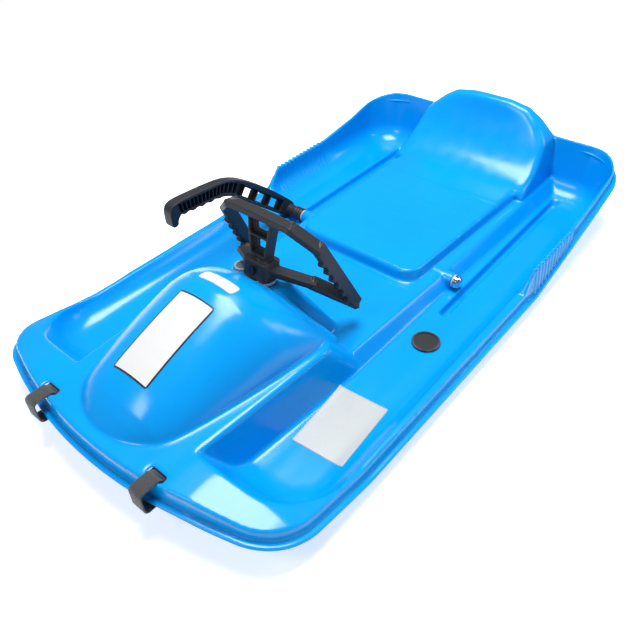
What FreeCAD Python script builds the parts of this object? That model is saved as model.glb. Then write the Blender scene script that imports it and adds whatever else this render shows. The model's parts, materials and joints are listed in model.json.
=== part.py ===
# Steering sled: every sub-part, driven from one table of sizes in millimetres and degrees.
# The sled's front faces -Y, the rider's left is +X, the ground is at Z = 0.
import FreeCAD, Part
import math
import os
from FreeCAD import Vector

SIZES = [
    # Hull: plan outline, measured along the sled from the front of the lip
    ("hull_length", 958),
    ("frame_centre", 475.7),
    ("front_half_width", 254),
    ("rear_half_width", 268),
    ("front_slope_angle", 17),
    ("front_bow_radius", 620),
    ("front_corner_radius", 74),
    ("rear_slope_angle", 5),
    ("rear_bow_radius", 1100),
    ("rear_corner_radius", 82),
    # Hull: skin, lip and skirt
    ("wall", 3.5),
    ("floor_height", 16),
    ("lip_out", 7),
    ("lip_thick", 3.5),
    ("skirt_drop", 18),
    ("skirt_draft_share", 0.12),
    ("block_reach", 320),
    ("block_spare", 30),
    ("cutter_depth", 60),
    # Hull: heights of deck, rim and grips above the floor; the stations from the front of the lip,
    # and from grip_step on counted forward from the rear of the lip
    ("deck_rise", 59),
    ("deck_end", 80),
    ("fall_station", 138),
    ("fall_rise", 40),
    ("rim_start", 190),
    ("rim_rise", 24),
    ("grip_step", 388),
    ("grip_start", 362),
    ("grip_end", 236),
    ("grip_rise", 54),
    ("haunch_station", 136),
    ("haunch_rise", 69),
    ("tail_station", 28),
    ("tail_rise", 96),
    ("grip_lip_rise", 30),
    ("crown_half", 144),
    ("crown_shoulder_half", 224),
    ("crown_shoulder_drop", 13),
    ("crown_edge_drop", 38),
    # Hull: ribs of the hand grips
    ("rib_pitch", 10.5),
    ("rib_width", 5.5),
    ("rib_height", 1.6),
    # Hull: tub and ramps, its rear end counted forward from the rear of the lip
    ("tub_depth", 110),
    ("ramp_foot", 112),
    ("ramp_run", 69),
    ("tub_rear", 43),
    ("tub_rear_run", 22),
    ("tub_front_half", 241),
    ("tub_rear_half", 245),
    ("tub_side_run", 4),
    ("tub_corner_radius", 62),
    ("tub_foot_radius", 40),
    # Hull: tongue beside the cowl
    ("tongue_front_half", 122),
    ("tongue_rear_half", 142),
    ("tongue_end", 346),
    ("tongue_start", 34),
    ("tongue_lean", 16),
    ("tongue_end_run", 48),
    ("tongue_corner_radius", 24),
    # Hull: tunnel and seat, from tunnel_end on counted forward from the rear of the lip
    ("tunnel_start", 300),
    ("tunnel_end", 37),
    ("tunnel_front_half", 141),
    ("tunnel_rear_half", 157),
    ("tunnel_rise", 22),
    ("tunnel_lean", 17),
    ("seat_start", 472),
    ("seat_front_half", 116),
    ("seat_rear_half", 132),
    ("seat_rise", 40),
    ("seat_lean", 10),
    ("seat_corner_radius", 26),
    ("seat_bevel", 4),
    # Hull: backrest, counted forward from the rear of the lip
    ("back_foot", 152),
    ("back_bend", 84),
    ("back_bend_rise", 82),
    ("back_front", 53),
    ("back_rear", 32),
    ("back_rise", 146),
    ("back_foot_half", 134),
    ("back_shoulder_half", 124),
    ("back_top_half", 71),
    ("back_hem_rise", 84),
    # Hull: cowl, seven stations along the sled
    ("cowl_base_rise", 45),
    ("cowl_toe", 29),
    ("cowl_nose", 58),
    ("cowl_brow", 100),
    ("cowl_middle", 175),
    ("cowl_peak", 228),
    ("cowl_rear", 282),
    ("cowl_end", 318),
    ("cowl_toe_half", 40),
    ("cowl_nose_half", 74),
    ("cowl_brow_half", 87),
    ("cowl_middle_half", 101),
    ("cowl_peak_half", 108),
    ("cowl_rear_half", 114),
    ("cowl_end_half", 112),
    ("cowl_toe_crest", 60),
    ("cowl_nose_crest", 87),
    ("cowl_brow_crest", 109),
    ("cowl_middle_crest", 136),
    ("cowl_peak_crest", 145),
    ("cowl_rear_crest", 114),
    ("cowl_end_crest", 58),
    # Hull: pedestal under the steering collar, at floor level
    ("pedestal_front", 244),
    ("pedestal_rear", 372),
    ("pedestal_half", 96),
    ("pedestal_front_run", 20),
    ("pedestal_rear_run", 48),
    ("pedestal_lean", 62),
    ("pedestal_rise", 101),
    ("pedestal_radius", 18),
    # Hull: keels, counted forward from the rear of the lip, and strap slots
    ("keel_start", 471),
    ("keel_end", 69),
    ("keel_centre", 168),
    ("keel_half", 6.5),
    ("keel_lean", 2),
    ("keel_end_run", 14),
    ("slot_station", 31.5),
    ("slot_centre", 96),
    ("slot_width", 25),
    ("slot_length", 8.5),
    # Steering: axis, column and collar
    ("column_station", 296),
    ("column_rise", 104),
    ("column_tilt", 10),
    ("column_radius", 10),
    ("column_bore_radius", 7),
    ("column_top", 34),
    ("column_bottom", 112),
    ("running_gap", 0.05),
    ("end_gap", 0.3),
    ("bush_radius", 13),
    ("bush_length", 46),
    ("bush_flange_radius", 20),
    ("bush_flange_thick", 4),
    ("collar_radius", 18),
    ("collar_length", 44),
    ("washer_radius", 17),
    ("washer_thick", 1.6),
    ("ring_radius", 15),
    ("ring_thick", 3),
    # Steering: yoke, measured from the top of the collar along and square to the column
    ("yoke_depth", 18),
    ("yoke_bar_thick", 9),
    ("yoke_top", 93),
    ("yoke_top_fore", 6),
    ("yoke_brow_half", 50),
    ("yoke_brow_rise", 92),
    ("yoke_bend_half", 78),
    ("yoke_bend_back", 14),
    ("yoke_bend_rise", 70),
    ("yoke_tip_half", 93),
    ("yoke_tip_back", 88),
    ("yoke_tip_drop", 30),
    ("yoke_root_half", 14),
    ("yoke_knee_half", 62),
    ("yoke_knee_back", 32),
    ("yoke_knee_rise", 8),
    ("yoke_root_rise", 20),
    ("finger_radius", 4),
    ("finger_pitch", 17),
    ("web_half", 20),
    ("web_hole_radius", 5),
    ("web_hole_length", 8),
    ("oval_share", 0.98),
    ("web_hole_low", 46),
    ("web_hole_high", 70),
    ("foot_half", 19),
    ("foot_depth_half", 16),
    ("foot_rise", 26),
    ("foot_corner_radius", 5),
    ("foot_bolt_rise", 14),
    # Steering: skid under the nose, measured from the column's foot on the ground
    ("skid_width", 42),
    ("skid_nose", 118),
    ("skid_nose_rise", 34),
    ("skid_nose_low", 22),
    ("skid_bend", 72),
    ("skid_heel", 66),
    ("skid_heel_rise", 9),
    ("skid_thick", 12),
    ("skid_nose_radius", 5),
    ("skid_bend_radius", 60),
    ("skid_fin_half", 3),
    ("skid_fin_rise", 34),
    ("socket_radius", 17),
    ("socket_low", 6),
    ("socket_rise", 52),
    ("skid_bolt_rise", 34),
    ("cheek_radius", 8),
    # Bolts and nuts of the steering
    ("bolt_radius", 3),
    ("bolt_head_radius", 5.8),
    ("bolt_head_thick", 4),
    ("bolt_spare", 8),
    ("nut_radius", 5.8),
    ("nut_thick", 5),
    # Brake: axle across the tunnel, counted forward from the rear of the lip
    ("axle_station", 405),
    ("axle_rise", 12.5),
    ("axle_radius", 5),
    ("axle_left", 157),
    ("axle_right", 190),
    ("axle_bush_radius", 7.5),
    ("axle_flange_radius", 10),
    ("axle_flange_thick", 2),
    ("axle_boss_radius", 11.5),
    ("axle_boss_inner", 112),
    ("axle_boss_outer", 148),
    ("cap_radius", 10),
    ("cap_length", 9),
    ("cap_round", 3),
    # Brake: lever, measured from the axle
    ("hub_radius", 10.5),
    ("lever_centre", 190),
    ("lever_width", 17),
    ("arm_half", 13.5),
    ("arm_angle", 45),
    ("elbow_run", 104),
    ("elbow_rise", 101),
    ("grip_back_run", 140),
    ("grip_back_rise", 119),
    ("grip_tip_run", 236),
    ("grip_tip_rise", 126),
    ("hook_run", 248),
    ("hook_top_rise", 118),
    ("hook_low_rise", 91),
    ("hook_thick", 12),
    ("palm_tip_run", 230),
    ("palm_tip_rise", 103),
    ("palm_back_run", 148),
    ("palm_back_rise", 96),
    ("crook_run", 122),
    ("crook_rise", 82),
    ("lever_soft_radius", 16),
    ("lever_tight_radius", 5),
    ("palm_finger_radius", 12),
    ("palm_finger_pitch", 17),
    ("palm_finger_depth", 3),
    ("window_first", 50),
    ("window_second", 88),
    ("window_third", 124),
    ("window_length", 20),
    ("window_width", 13),
    ("window_radius", 4),
    ("pin_radius", 2),
    ("lever_pin_centre", 164),
    # Brake: claw under the seat, measured from the axle
    ("claw_hub_radius", 9),
    ("claw_half", 30),
    ("claw_plate_low", 7.8),
    ("claw_plate_thick", 6),
    ("claw_length", 62),
    ("claw_bar_start", 24),
    ("claw_bar_end", 40),
    ("claw_bar_half", 62),
    ("tooth_width", 10),
    ("tooth_length", 8),
    ("tooth_drop", 9),
    # Brake: return spring round the axle
    ("spring_radius", 9),
    ("spring_wire_radius", 1.2),
    ("spring_pitch", 3.3),
    ("spring_start", 38),
    ("spring_leg_run", 36),
    # Plugs and tow straps; the floor plug is counted forward from the rear of the lip
    ("floor_plug_station", 534),
    ("floor_plug_centre", 181),
    ("floor_plug_radius", 20),
    ("floor_plug_stem_radius", 15),
    ("floor_plug_head", 3),
    ("floor_plug_stem", 7),
    ("plug_dish", 1.2),
    ("plug_rim", 3),
    ("cowl_plug_station", 302),
    ("cowl_plug_centre", 40),
    ("cowl_plug_radius", 11),
    ("cowl_plug_stem_radius", 7),
    ("cowl_plug_head", 3),
    ("cowl_plug_stem", 9),
    ("cowl_plug_boss_radius", 14),
    ("cowl_plug_boss_rise", 102),
    ("cowl_plug_boss_length", 24),
    ("strap_width", 20),
    ("strap_thick", 1.8),
    ("strap_front", 2),
    ("strap_low_rise", 34),
    ("strap_bend_radius", 5),
]
COUNTS = {"rib": 12, "finger": 6, "palm_finger": 5, "coil_turn": 6, "coil_step": 16, "wire_side": 6,
          "tooth": 3, "cowl_step": 3, "hex_side": 6}

doc = FreeCAD.newDocument("steering_sled")
sheet = doc.addObject("Spreadsheet::Sheet", "sizes")
for row, (alias, value) in enumerate(SIZES, start=1):
    sheet.set(f"A{row}", alias)
    sheet.set(f"B{row}", str(value))
    sheet.setAlias(f"B{row}", alias)
doc.recompute()


def size(alias):
    """The value of one named cell."""
    return float(sheet.get(alias))


def along(station):
    """Y of a station counted from the front of the lip."""
    return station - size("frame_centre")


def from_rear(alias):
    """Station of a named distance counted forward from the rear of the lip."""
    return size("hull_length") - size(alias)


def above(rise):
    """Z of a height counted from the top of the side floors."""
    return rise + size("floor_height")


def rounded(points, radii):
    """Closed flat wire through the points, each corner rounded by its own radius."""
    corners = []
    for index, point in enumerate(points):
        back = (points[index - 1] - point).normalize()
        ahead = (points[(index + 1) % len(points)] - point).normalize()
        half = back.getAngle(ahead) / 2
        radius = radii[index]
        reach = radius / math.tan(half)
        inward = (back + ahead).normalize() * (radius / math.sin(half) - radius)
        corners.append((point + back * reach, point + inward, point + ahead * reach))
    edges = []
    for index, (start, middle, end) in enumerate(corners):
        if radii[index] > 0:
            edges.append(Part.Arc(start, middle, end).toShape())
        following = corners[(index + 1) % len(corners)][0]
        if (following - end).Length > 1e-6:
            edges.append(Part.LineSegment(end, following).toShape())
    return Part.Wire(edges)


def leaning_block(low, high, front, rear, halves, slopes, radius):
    """Six-sided block; ends and half widths are given at height zero, slopes for front, rear and sides."""
    taper = (halves[1] - halves[0]) / (rear - front)
    rings = []
    for rise in (low, high):
        start = front + slopes[0] * rise
        end = rear - slopes[1] * rise
        start_half = halves[0] + taper * (start - front) - slopes[2] * rise
        end_half = halves[0] + taper * (end - front) - slopes[2] * rise
        corners = [(-start_half, start), (start_half, start), (end_half, end), (-end_half, end)]
        rings.append([Vector(x, along(s), above(rise)) for x, s in corners])
    bottom, top = rings
    faces = [Part.Face(Part.makePolygon(ring + ring[:1])) for ring in (bottom[::-1], top)]
    for index in range(4):
        after = (index + 1) % 4
        side = [bottom[index], bottom[after], top[after], top[index], bottom[index]]
        faces.append(Part.Face(Part.makePolygon(side)))
    shell = Part.Shell(faces)
    shell.sewShape()
    solid = Part.Solid(shell)
    corners = [edge for edge in solid.Edges if edge.Vertexes[0].Z != edge.Vertexes[1].Z]
    return solid.makeFillet(radius, corners) if radius else solid


def loft(wires):
    return Part.makeLoft(wires, True, True)


def swept_face(wire, vector):
    return Part.Face(wire).extrude(vector)


def fuse(shapes):
    return shapes[0].fuse(shapes[1:])


def widen(distance, slope):
    """Sideways shift that moves a sloping face by a distance square to itself."""
    return distance * math.sqrt(1 + slope * slope)


# Hull: outline, blocks and cutters
def outline(grow):
    """Plan of the skirt's foot, grown outward by a distance."""
    front_slope = math.tan(math.radians(size("front_slope_angle")))
    rear_slope = math.tan(math.radians(size("rear_slope_angle")))
    half_front = math.radians(90 - size("front_slope_angle"))
    half_rear = math.radians(90 - size("rear_slope_angle"))
    front_apex = size("front_bow_radius") * (1 - 1 / math.sin(half_front))
    rear_apex = size("hull_length") - size("rear_bow_radius") * (1 - 1 / math.sin(half_rear))
    front_half = size("front_half_width")
    rear_half = size("rear_half_width")
    points = [
        Vector(0, along(front_apex), 0),
        Vector(front_half, along(front_apex + front_half * front_slope), 0),
        Vector(rear_half, along(rear_apex - rear_half * rear_slope), 0),
        Vector(0, along(rear_apex), 0),
        Vector(-rear_half, along(rear_apex - rear_half * rear_slope), 0),
        Vector(-front_half, along(front_apex + front_half * front_slope), 0),
    ]
    front, rear = size("front_corner_radius"), size("rear_corner_radius")
    radii = [size("front_bow_radius"), front, rear, size("rear_bow_radius"), rear, front]
    return rounded(points, radii).makeOffset2D(grow)


def plan(grow):
    """Drafted prism over the skirt's outline, from below the floor to above the rim."""
    low, high = -size("cutter_depth"), size("tub_depth")
    wires = []
    for rise in (low, high):
        draft = size("skirt_draft_share") * (rise - size("rim_rise") + size("skirt_drop"))
        wire = outline(grow - size("lip_out") - draft)
        wire.translate(Vector(0, 0, above(rise)))
        wires.append(wire)
    return loft(wires)


def blocks(raised, mode):
    """Slab across the sled under deck, rims and grips: its skirt, all that is under it, or its lip."""
    reach = size("block_reach")
    drops = [(reach, size("crown_edge_drop")), (size("crown_shoulder_half"), size("crown_shoulder_drop"))]
    drops.append((size("crown_half"), 0))
    stations = [(-half, drop) for half, drop in drops] + [(half, drop) for half, drop in reversed(drops)]
    return loft([block_wire(raised, mode, x, drop) for x, drop in stations])


def block_wire(raised, mode, x, crown_drop):
    """Side view of the slab at X, with its deck lowered by the crown's drop there."""
    drop = size("skirt_drop")
    start, end = -size("block_spare"), size("hull_length") + size("block_spare")
    fall_share = (size("fall_rise") - size("rim_rise")) / (size("deck_rise") - size("rim_rise"))
    deck = size("deck_rise") - crown_drop
    top = [(start, deck), (size("deck_end"), deck)]
    top += [(size("fall_station"), size("fall_rise") - fall_share * crown_drop)]
    top += [(size("rim_start"), size("rim_rise"))]
    names = [("grip_step", "rim_rise"), ("grip_start", "grip_rise"), ("grip_end", "grip_rise")]
    names += [("haunch_station", "haunch_rise"), ("tail_station", "tail_rise")]
    top += [(from_rear(station), size(rise)) for station, rise in names]
    top = [(station, rise + raised) for station, rise in top + [(end, top[-1][1])]]
    bottom = [(station, rise - 2 * raised - drop) for station, rise in top]
    bottom[5] = (from_rear("grip_start"), size("rim_rise") - drop)
    bottom[6] = (from_rear("grip_end"), size("grip_lip_rise"))
    if mode == "lip":
        top = [(station, rise + size("lip_thick")) for station, rise in bottom]
    if mode == "filled":
        bottom = [(start, -size("cutter_depth")), (end, -size("cutter_depth"))]
    points = [Vector(x, along(s), above(z)) for s, z in top + bottom[::-1]]
    return Part.makePolygon(points + points[:1])


def tub(grow):
    """The rider's tub as a cutter, grown outward by a distance."""
    depth = size("tub_depth")
    slopes = [-size(run) / depth for run in ("ramp_run", "tub_rear_run", "tub_side_run")]
    halves = (size("tub_front_half"), size("tub_rear_half"))
    radius = size("tub_corner_radius")
    block = grown_block(-grow, depth, size("ramp_foot"), from_rear("tub_rear"), halves, slopes, radius, grow)
    foot = [edge for edge in block.Edges if edge.BoundBox.ZMax < above(size("wall") / 2)]
    return block.makeFillet(size("tub_foot_radius") + grow, foot)


def grown_block(low, high, front, rear, halves, slopes, radius, grow):
    """Leaning block with its four sides moved outward, square to themselves, by a distance."""
    start = front - widen(grow, slopes[0])
    end = rear + widen(grow, slopes[1])
    sides = [half + widen(grow, slopes[2]) for half in halves]
    corner = max(radius + grow, size("wall") / 2) if radius else 0
    return leaning_block(low, high, start, end, sides, slopes, corner)


def raised_block(high, front, rear, halves, slopes, radius, inset):
    """Block standing on the floor, or inset the hollow inside it, which opens downward."""
    low = -size("wall") if inset == 0 else -size("cutter_depth")
    return grown_block(low, high - inset, front, rear, halves, slopes, radius, -inset)


def bevelled_block(high, front, rear, halves, slopes, radius, bevel):
    """Block standing on the floor with a bevel round its top."""
    block = raised_block(high, front, rear, halves, slopes, radius, 0)
    steep = high - bevel
    shifts = [(slope - 1) * steep for slope in slopes]
    sides = [half - shifts[2] for half in halves]
    bevels = leaning_block(-size("wall"), high, front + shifts[0], rear - shifts[1], sides, (1, 1, 1), radius)
    return block.common(bevels)


def tongue(inset):
    rise = size("deck_rise")
    slopes = (0, size("tongue_end_run") / rise, size("tongue_lean") / rise)
    return raised_block(rise, size("tongue_start"), size("tongue_end"),
                        (size("tongue_front_half"), size("tongue_rear_half")), slopes,
                        size("tongue_corner_radius"), inset)


def tunnel(inset):
    rise = size("tunnel_rise")
    halves = (size("tunnel_front_half"), size("tunnel_rear_half"))
    slopes = (0, 0, size("tunnel_lean") / rise)
    return raised_block(rise, size("tunnel_start"), from_rear("tunnel_end"), halves, slopes, 0, inset)


def seat(inset):
    rise = size("seat_rise")
    slope = size("seat_lean") / rise
    ends = (from_rear("seat_start"), from_rear("tunnel_end"))
    halves = (size("seat_front_half"), size("seat_rear_half"))
    radius = size("seat_corner_radius")
    if inset:
        return raised_block(rise, *ends, halves, (slope, 0, slope), radius, inset)
    return bevelled_block(rise, *ends, halves, (slope, 0, slope), radius, size("seat_bevel"))


def backrest(inset):
    """Side view and front view of the backrest, crossed."""
    reach = size("back_foot_half")
    wall = size("wall")
    low = -wall if inset == 0 else -size("cutter_depth")
    foot, bend, front = from_rear("back_foot"), from_rear("back_bend"), from_rear("back_front")
    seat_rise, bend_rise, rise = size("seat_rise"), size("back_bend_rise"), size("back_rise")
    hem = size("back_hem_rise")
    rear = from_rear("tub_rear") + wall / 2
    hem_rear = rear + size("tub_rear_run") * hem / size("tub_depth")

    def point(station, height):
        return Vector(-2 * reach, along(station), above(height))

    curve = [point(foot + inset, seat_rise - wall - inset), point(bend + inset, bend_rise - inset)]
    curve.append(point(front + inset, rise - inset))
    back = from_rear("back_rear") - inset
    ring = [curve[2], point(back, rise - inset), point(back + wall, hem), point(hem_rear - inset, hem)]
    ring += [point(rear - inset, low), point(foot + inset, low), curve[0]]
    edges = [Part.Arc(*curve).toShape()]
    edges += [Part.LineSegment(a, b).toShape() for a, b in zip(ring, ring[1:])]
    side = swept_face(Part.Wire(edges), Vector(4 * reach, 0, 0))
    halves = [(reach, low), (reach, seat_rise), (size("back_shoulder_half"), size("tail_rise"))]
    halves.append((size("back_top_half"), rise + wall))
    points = [Vector(half - inset, along(foot), above(z)) for half, z in halves]
    points += [Vector(inset - half, along(foot), above(z)) for half, z in reversed(halves)]
    view = swept_face(Part.makePolygon(points + points[:1]), Vector(0, size("hull_length"), 0))
    return side.common(view)


def through(values, place):
    """Smooth curve through evenly numbered values, read at a place between them."""
    index = min(int(place), len(values) - 2)
    share = place - index
    slopes = [(values[min(i + 1, len(values) - 1)] - values[max(i - 1, 0)]) / 2 for i in (index, index + 1)]
    low, high = values[index], values[index + 1]
    cube = low + share * slopes[0] + share ** 2 * (3 * (high - low) - 2 * slopes[0] - slopes[1])
    return cube + share ** 3 * (slopes[0] + slopes[1] - 2 * (high - low))


def cowl(inset):
    """Loft through half-oval stations."""
    base = size("cowl_base_rise")
    names = ("toe", "nose", "brow", "middle", "peak", "rear", "end")
    stations = [size(f"cowl_{name}") for name in names]
    stations[0] += inset
    stations[-1] -= inset
    halves = [size(f"cowl_{name}_half") - inset for name in names]
    crests = [size(f"cowl_{name}_crest") - inset for name in names]
    low = above(-size("cutter_depth")) if inset else above(base - size("wall"))
    wires = []
    for step in range((len(names) - 1) * COUNTS["cowl_step"] + 1):
        place = step / COUNTS["cowl_step"]
        centre = Vector(0, along(through(stations, place)), above(base))
        oval = Part.Ellipse(centre, through(halves, place), through(crests, place) - base)
        oval.Axis = Vector(0, -1, 0)
        oval.XAxis = Vector(1, 0, 0)
        arc = oval.toShape(0, math.pi)
        ends = [vertex.Point for vertex in arc.Vertexes]
        drops = [Vector(end.x, end.y, low) for end in ends]
        ring = [ends[0], drops[0], drops[1], ends[1]]
        edges = [arc] + [Part.LineSegment(a, b).toShape() for a, b in zip(ring, ring[1:])]
        wires.append(Part.Wire(Part.__sortEdges__(edges)))
    return loft(wires)


def pedestal(inset):
    rise = size("pedestal_rise")
    slopes = [size(f"pedestal_{name}") / rise for name in ("front_run", "rear_run", "lean")]
    half = size("pedestal_half")
    return raised_block(rise, size("pedestal_front"), size("pedestal_rear"), (half, half), slopes,
                        size("pedestal_radius"), inset)


def keels(grow):
    """The two floor grooves, or grown by the skin the keels under them."""
    bottom = size("wall") - size("floor_height") - grow
    side_slope = -size("keel_lean") / size("floor_height")
    end_slope = -size("keel_end_run") / size("floor_height")
    half = size("keel_half")
    solids = []
    for side in (-1, 1):
        solid = grown_block(bottom, size("wall"), from_rear("keel_start"), from_rear("keel_end"), (half, half),
                            (end_slope, end_slope, side_slope), 0, grow)
        solid.translate(Vector(side * size("keel_centre"), 0, 0))
        solids.append(solid)
    return fuse(solids)


def grip_ribs():
    """Raised ribs over the top and the outer side of both hand grips."""
    height = size("rib_height")
    ribbed = (COUNTS["rib"] - 1) * size("rib_pitch") + size("rib_width")
    spare = from_rear("grip_end") - from_rear("grip_start") - ribbed
    slabs = []
    for index in range(COUNTS["rib"]):
        start = from_rear("grip_start") + spare / 2 + index * size("rib_pitch")
        corner = Vector(-size("block_reach"), along(start), above(-size("cutter_depth")))
        slabs.append(Part.makeBox(2 * size("block_reach"), size("rib_width"), size("hull_length"), corner))
    return plan(height).common(blocks(height, "skirt")).common(Part.makeCompound(slabs))


def column_axis():
    tilt = math.radians(size("column_tilt"))
    return Vector(0, math.sin(tilt), math.cos(tilt))


def column_point(distance):
    """Point on the steering axis, a distance above the collar's top."""
    return Vector(0, along(size("column_station")), above(size("column_rise"))) + column_axis() * distance


def on_column(radius, low, high):
    return Part.makeCylinder(radius, high - low, column_point(low), column_axis())


def across(radius, start, end, y, z):
    return Part.makeCylinder(radius, end - start, Vector(start, y, z), Vector(1, 0, 0))


def upright(radius, low, high, x, y):
    return Part.makeCylinder(radius, high - low, Vector(x, y, low))


def hull_shape():
    wall = size("wall")
    raised = [tongue(0), tunnel(0), seat(0), backrest(0), cowl(0), pedestal(0)]
    hollow = [tongue(wall), tunnel(wall), seat(wall), backrest(wall), cowl(wall), pedestal(wall)]
    cavity = tub(0).cut(raised).fuse(keels(0))
    skin = tub(wall).cut(hollow).fuse(keels(wall))
    base = plan(0).common(blocks(0, "skirt"))
    lip = plan(size("lip_out")).common(blocks(0, "lip"))
    pan = skin.common(blocks(-wall / 2, "filled"))
    solid = fuse([base, lip, pan, grip_ribs()] + raised)
    under = plan(-wall).common(blocks(-wall, "filled"))
    under = fuse([under] + hollow).cut(skin)
    shell = solid.cut(cavity).cut(under)
    return with_fittings(shell)


def with_fittings(shell):
    """Bosses, bores, slots and plug holes of the moulding."""
    collar = on_column(size("collar_radius"), -size("collar_length"), 0)
    plug_y = along(size("cowl_plug_station"))
    plug_top = above(size("cowl_plug_boss_rise"))
    plug_low = plug_top - size("cowl_plug_boss_length")
    plug_boss = upright(size("cowl_plug_boss_radius"), plug_low, plug_top, -size("cowl_plug_centre"), plug_y)
    axle_y, axle_z = along(from_rear("axle_station")), above(size("axle_rise"))
    inner, outer = size("axle_boss_inner"), size("axle_boss_outer")
    bosses = [across(size("axle_boss_radius"), start, end, axle_y, axle_z)
              for start, end in ((inner, outer), (-outer, -inner))]
    shell = shell.fuse([collar, plug_boss] + bosses)
    cuts = [on_column(size("bush_radius"), -size("collar_length") - size("wall"), size("wall"))]
    room = on_column(size("bush_flange_radius") + size("wall"), 0, size("collar_length"))
    cuts.append(room)
    for start, end in ((inner, outer), (-outer, -inner)):
        cuts.append(across(size("axle_bush_radius"), start, end, axle_y, axle_z))
    cuts.append(upright(size("cowl_plug_stem_radius"), plug_low - size("collar_length"), plug_top,
                        -size("cowl_plug_centre"), plug_y))
    cuts.append(upright(size("floor_plug_stem_radius"), 0, above(size("wall")), size("floor_plug_centre"),
                        along(from_rear("floor_plug_station"))))
    for side in (-1, 1):
        corner = Vector(side * size("slot_centre") - size("slot_width") / 2,
                        along(size("slot_station")) - size("slot_length") / 2, above(0))
        cuts.append(Part.makeBox(size("slot_width"), size("slot_length"), size("tub_depth"), corner))
    return shell.cut(cuts).Solids[0]


# Steering yoke, drawn upright on the column's own axis
def on_axis(shape):
    """Leans a shape drawn on the Z axis, its origin at the collar's top, onto the steering axis."""
    moved = shape.copy()
    tilt = FreeCAD.Rotation(Vector(-1, 0, 0), size("column_tilt"))
    moved.Placement = FreeCAD.Placement(column_point(0), tilt).multiply(moved.Placement)
    return moved


def upright_plate(points, radii, depth):
    """Flat plate in the XZ plane, its depth centred on Y = 0."""
    wire = rounded([Vector(x, -depth / 2, z) for x, z in points], radii)
    return swept_face(wire, Vector(0, depth, 0))


def yoke_base():
    return size("bush_flange_thick") + size("end_gap") + size("washer_thick")


def bar(start, end):
    """Straight bar of the yoke between two points, its depth turned as near to Y as it can be."""
    thick, deep = size("yoke_bar_thick"), size("yoke_depth")
    way = end - start
    solid = Part.makeBox(way.Length + thick, deep, thick, Vector(-thick / 2, -deep / 2, -thick / 2))
    turn = FreeCAD.Rotation(way, Vector(0, 1, 0), way.cross(Vector(0, 1, 0)), "XYZ")
    solid.Placement = FreeCAD.Placement(start, turn)
    return solid


def yoke_half(side):
    """One hand loop: top bar, grip swept back and down, and the lower bar home to the foot."""
    middle = Vector(0, -size("yoke_top_fore"), size("yoke_top"))
    brow = Vector(side * size("yoke_brow_half"), -size("yoke_top_fore"), size("yoke_brow_rise"))
    bend = Vector(side * size("yoke_bend_half"), size("yoke_bend_back"), size("yoke_bend_rise"))
    tip = Vector(side * size("yoke_tip_half"), size("yoke_tip_back"), -size("yoke_tip_drop"))
    knee = Vector(side * size("yoke_knee_half"), size("yoke_knee_back"), size("yoke_knee_rise"))
    root = Vector(side * size("yoke_root_half"), 0, size("yoke_root_rise"))
    points = [middle, brow, bend, tip, knee, root]
    return [bar(start, end) for start, end in zip(points, points[1:])] + fingers(bend, tip)


def fingers(start, end):
    """Round finger ribs along the front of a grip."""
    way = (end - start).normalize()
    front = (way * way.y - Vector(0, 1, 0)).normalize() * (size("yoke_depth") / 2)
    out = way.cross(front).normalize() * size("yoke_bar_thick")
    first = ((end - start).Length - (COUNTS["finger"] - 1) * size("finger_pitch")) / 2
    places = [start + way * (first + index * size("finger_pitch")) for index in range(COUNTS["finger"])]
    return [Part.makeCylinder(size("finger_radius"), out.Length, place + front - out / 2, out) for place in places]


def web_hole(rise):
    """Oval hole through the middle web."""
    half = size("web_hole_length") / 2
    radius = size("web_hole_radius")
    corners = [(-half - radius, rise - radius), (half + radius, rise - radius)]
    corners += [(half + radius, rise + radius), (-half - radius, rise + radius)]
    return upright_plate(corners, [radius * size("oval_share")] * len(corners), 2 * size("yoke_depth"))


def yoke_shape():
    base = yoke_base()
    half, deep = size("foot_half"), size("foot_depth_half")
    foot_ring = [Vector(-half, -deep, base), Vector(half, -deep, base), Vector(half, deep, base)]
    foot_ring.append(Vector(-half, deep, base))
    foot = swept_face(rounded(foot_ring, [size("foot_corner_radius")] * 4), Vector(0, 0, size("foot_rise")))
    web_half, top = size("web_half"), size("yoke_top")
    web_ring = [(-web_half, base), (web_half, base), (web_half, top), (-web_half, top)]
    web = upright_plate(web_ring, [0] * 4, size("yoke_depth"))
    yoke = fuse([foot, web] + yoke_half(-1) + yoke_half(1))
    bore = size("column_radius") + size("running_gap")
    cuts = [web_hole(base + size("web_hole_low")), web_hole(base + size("web_hole_high"))]
    cuts.append(Part.makeCylinder(bore, size("column_top"), Vector(0, 0, 0)))
    bolt_start = Vector(0, -2 * deep, base + size("foot_bolt_rise"))
    bolt_radius = size("bolt_radius") + size("running_gap")
    cuts.append(Part.makeCylinder(bolt_radius, 4 * deep, bolt_start, Vector(0, 1, 0)))
    return on_axis(yoke.cut(cuts).removeSplitter())


# Steering skid under the nose
def axis_distance(height):
    """Distance along the steering axis of a height above the ground."""
    top = above(size("column_rise"))
    return (height - top) / math.cos(math.radians(size("column_tilt")))


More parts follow.
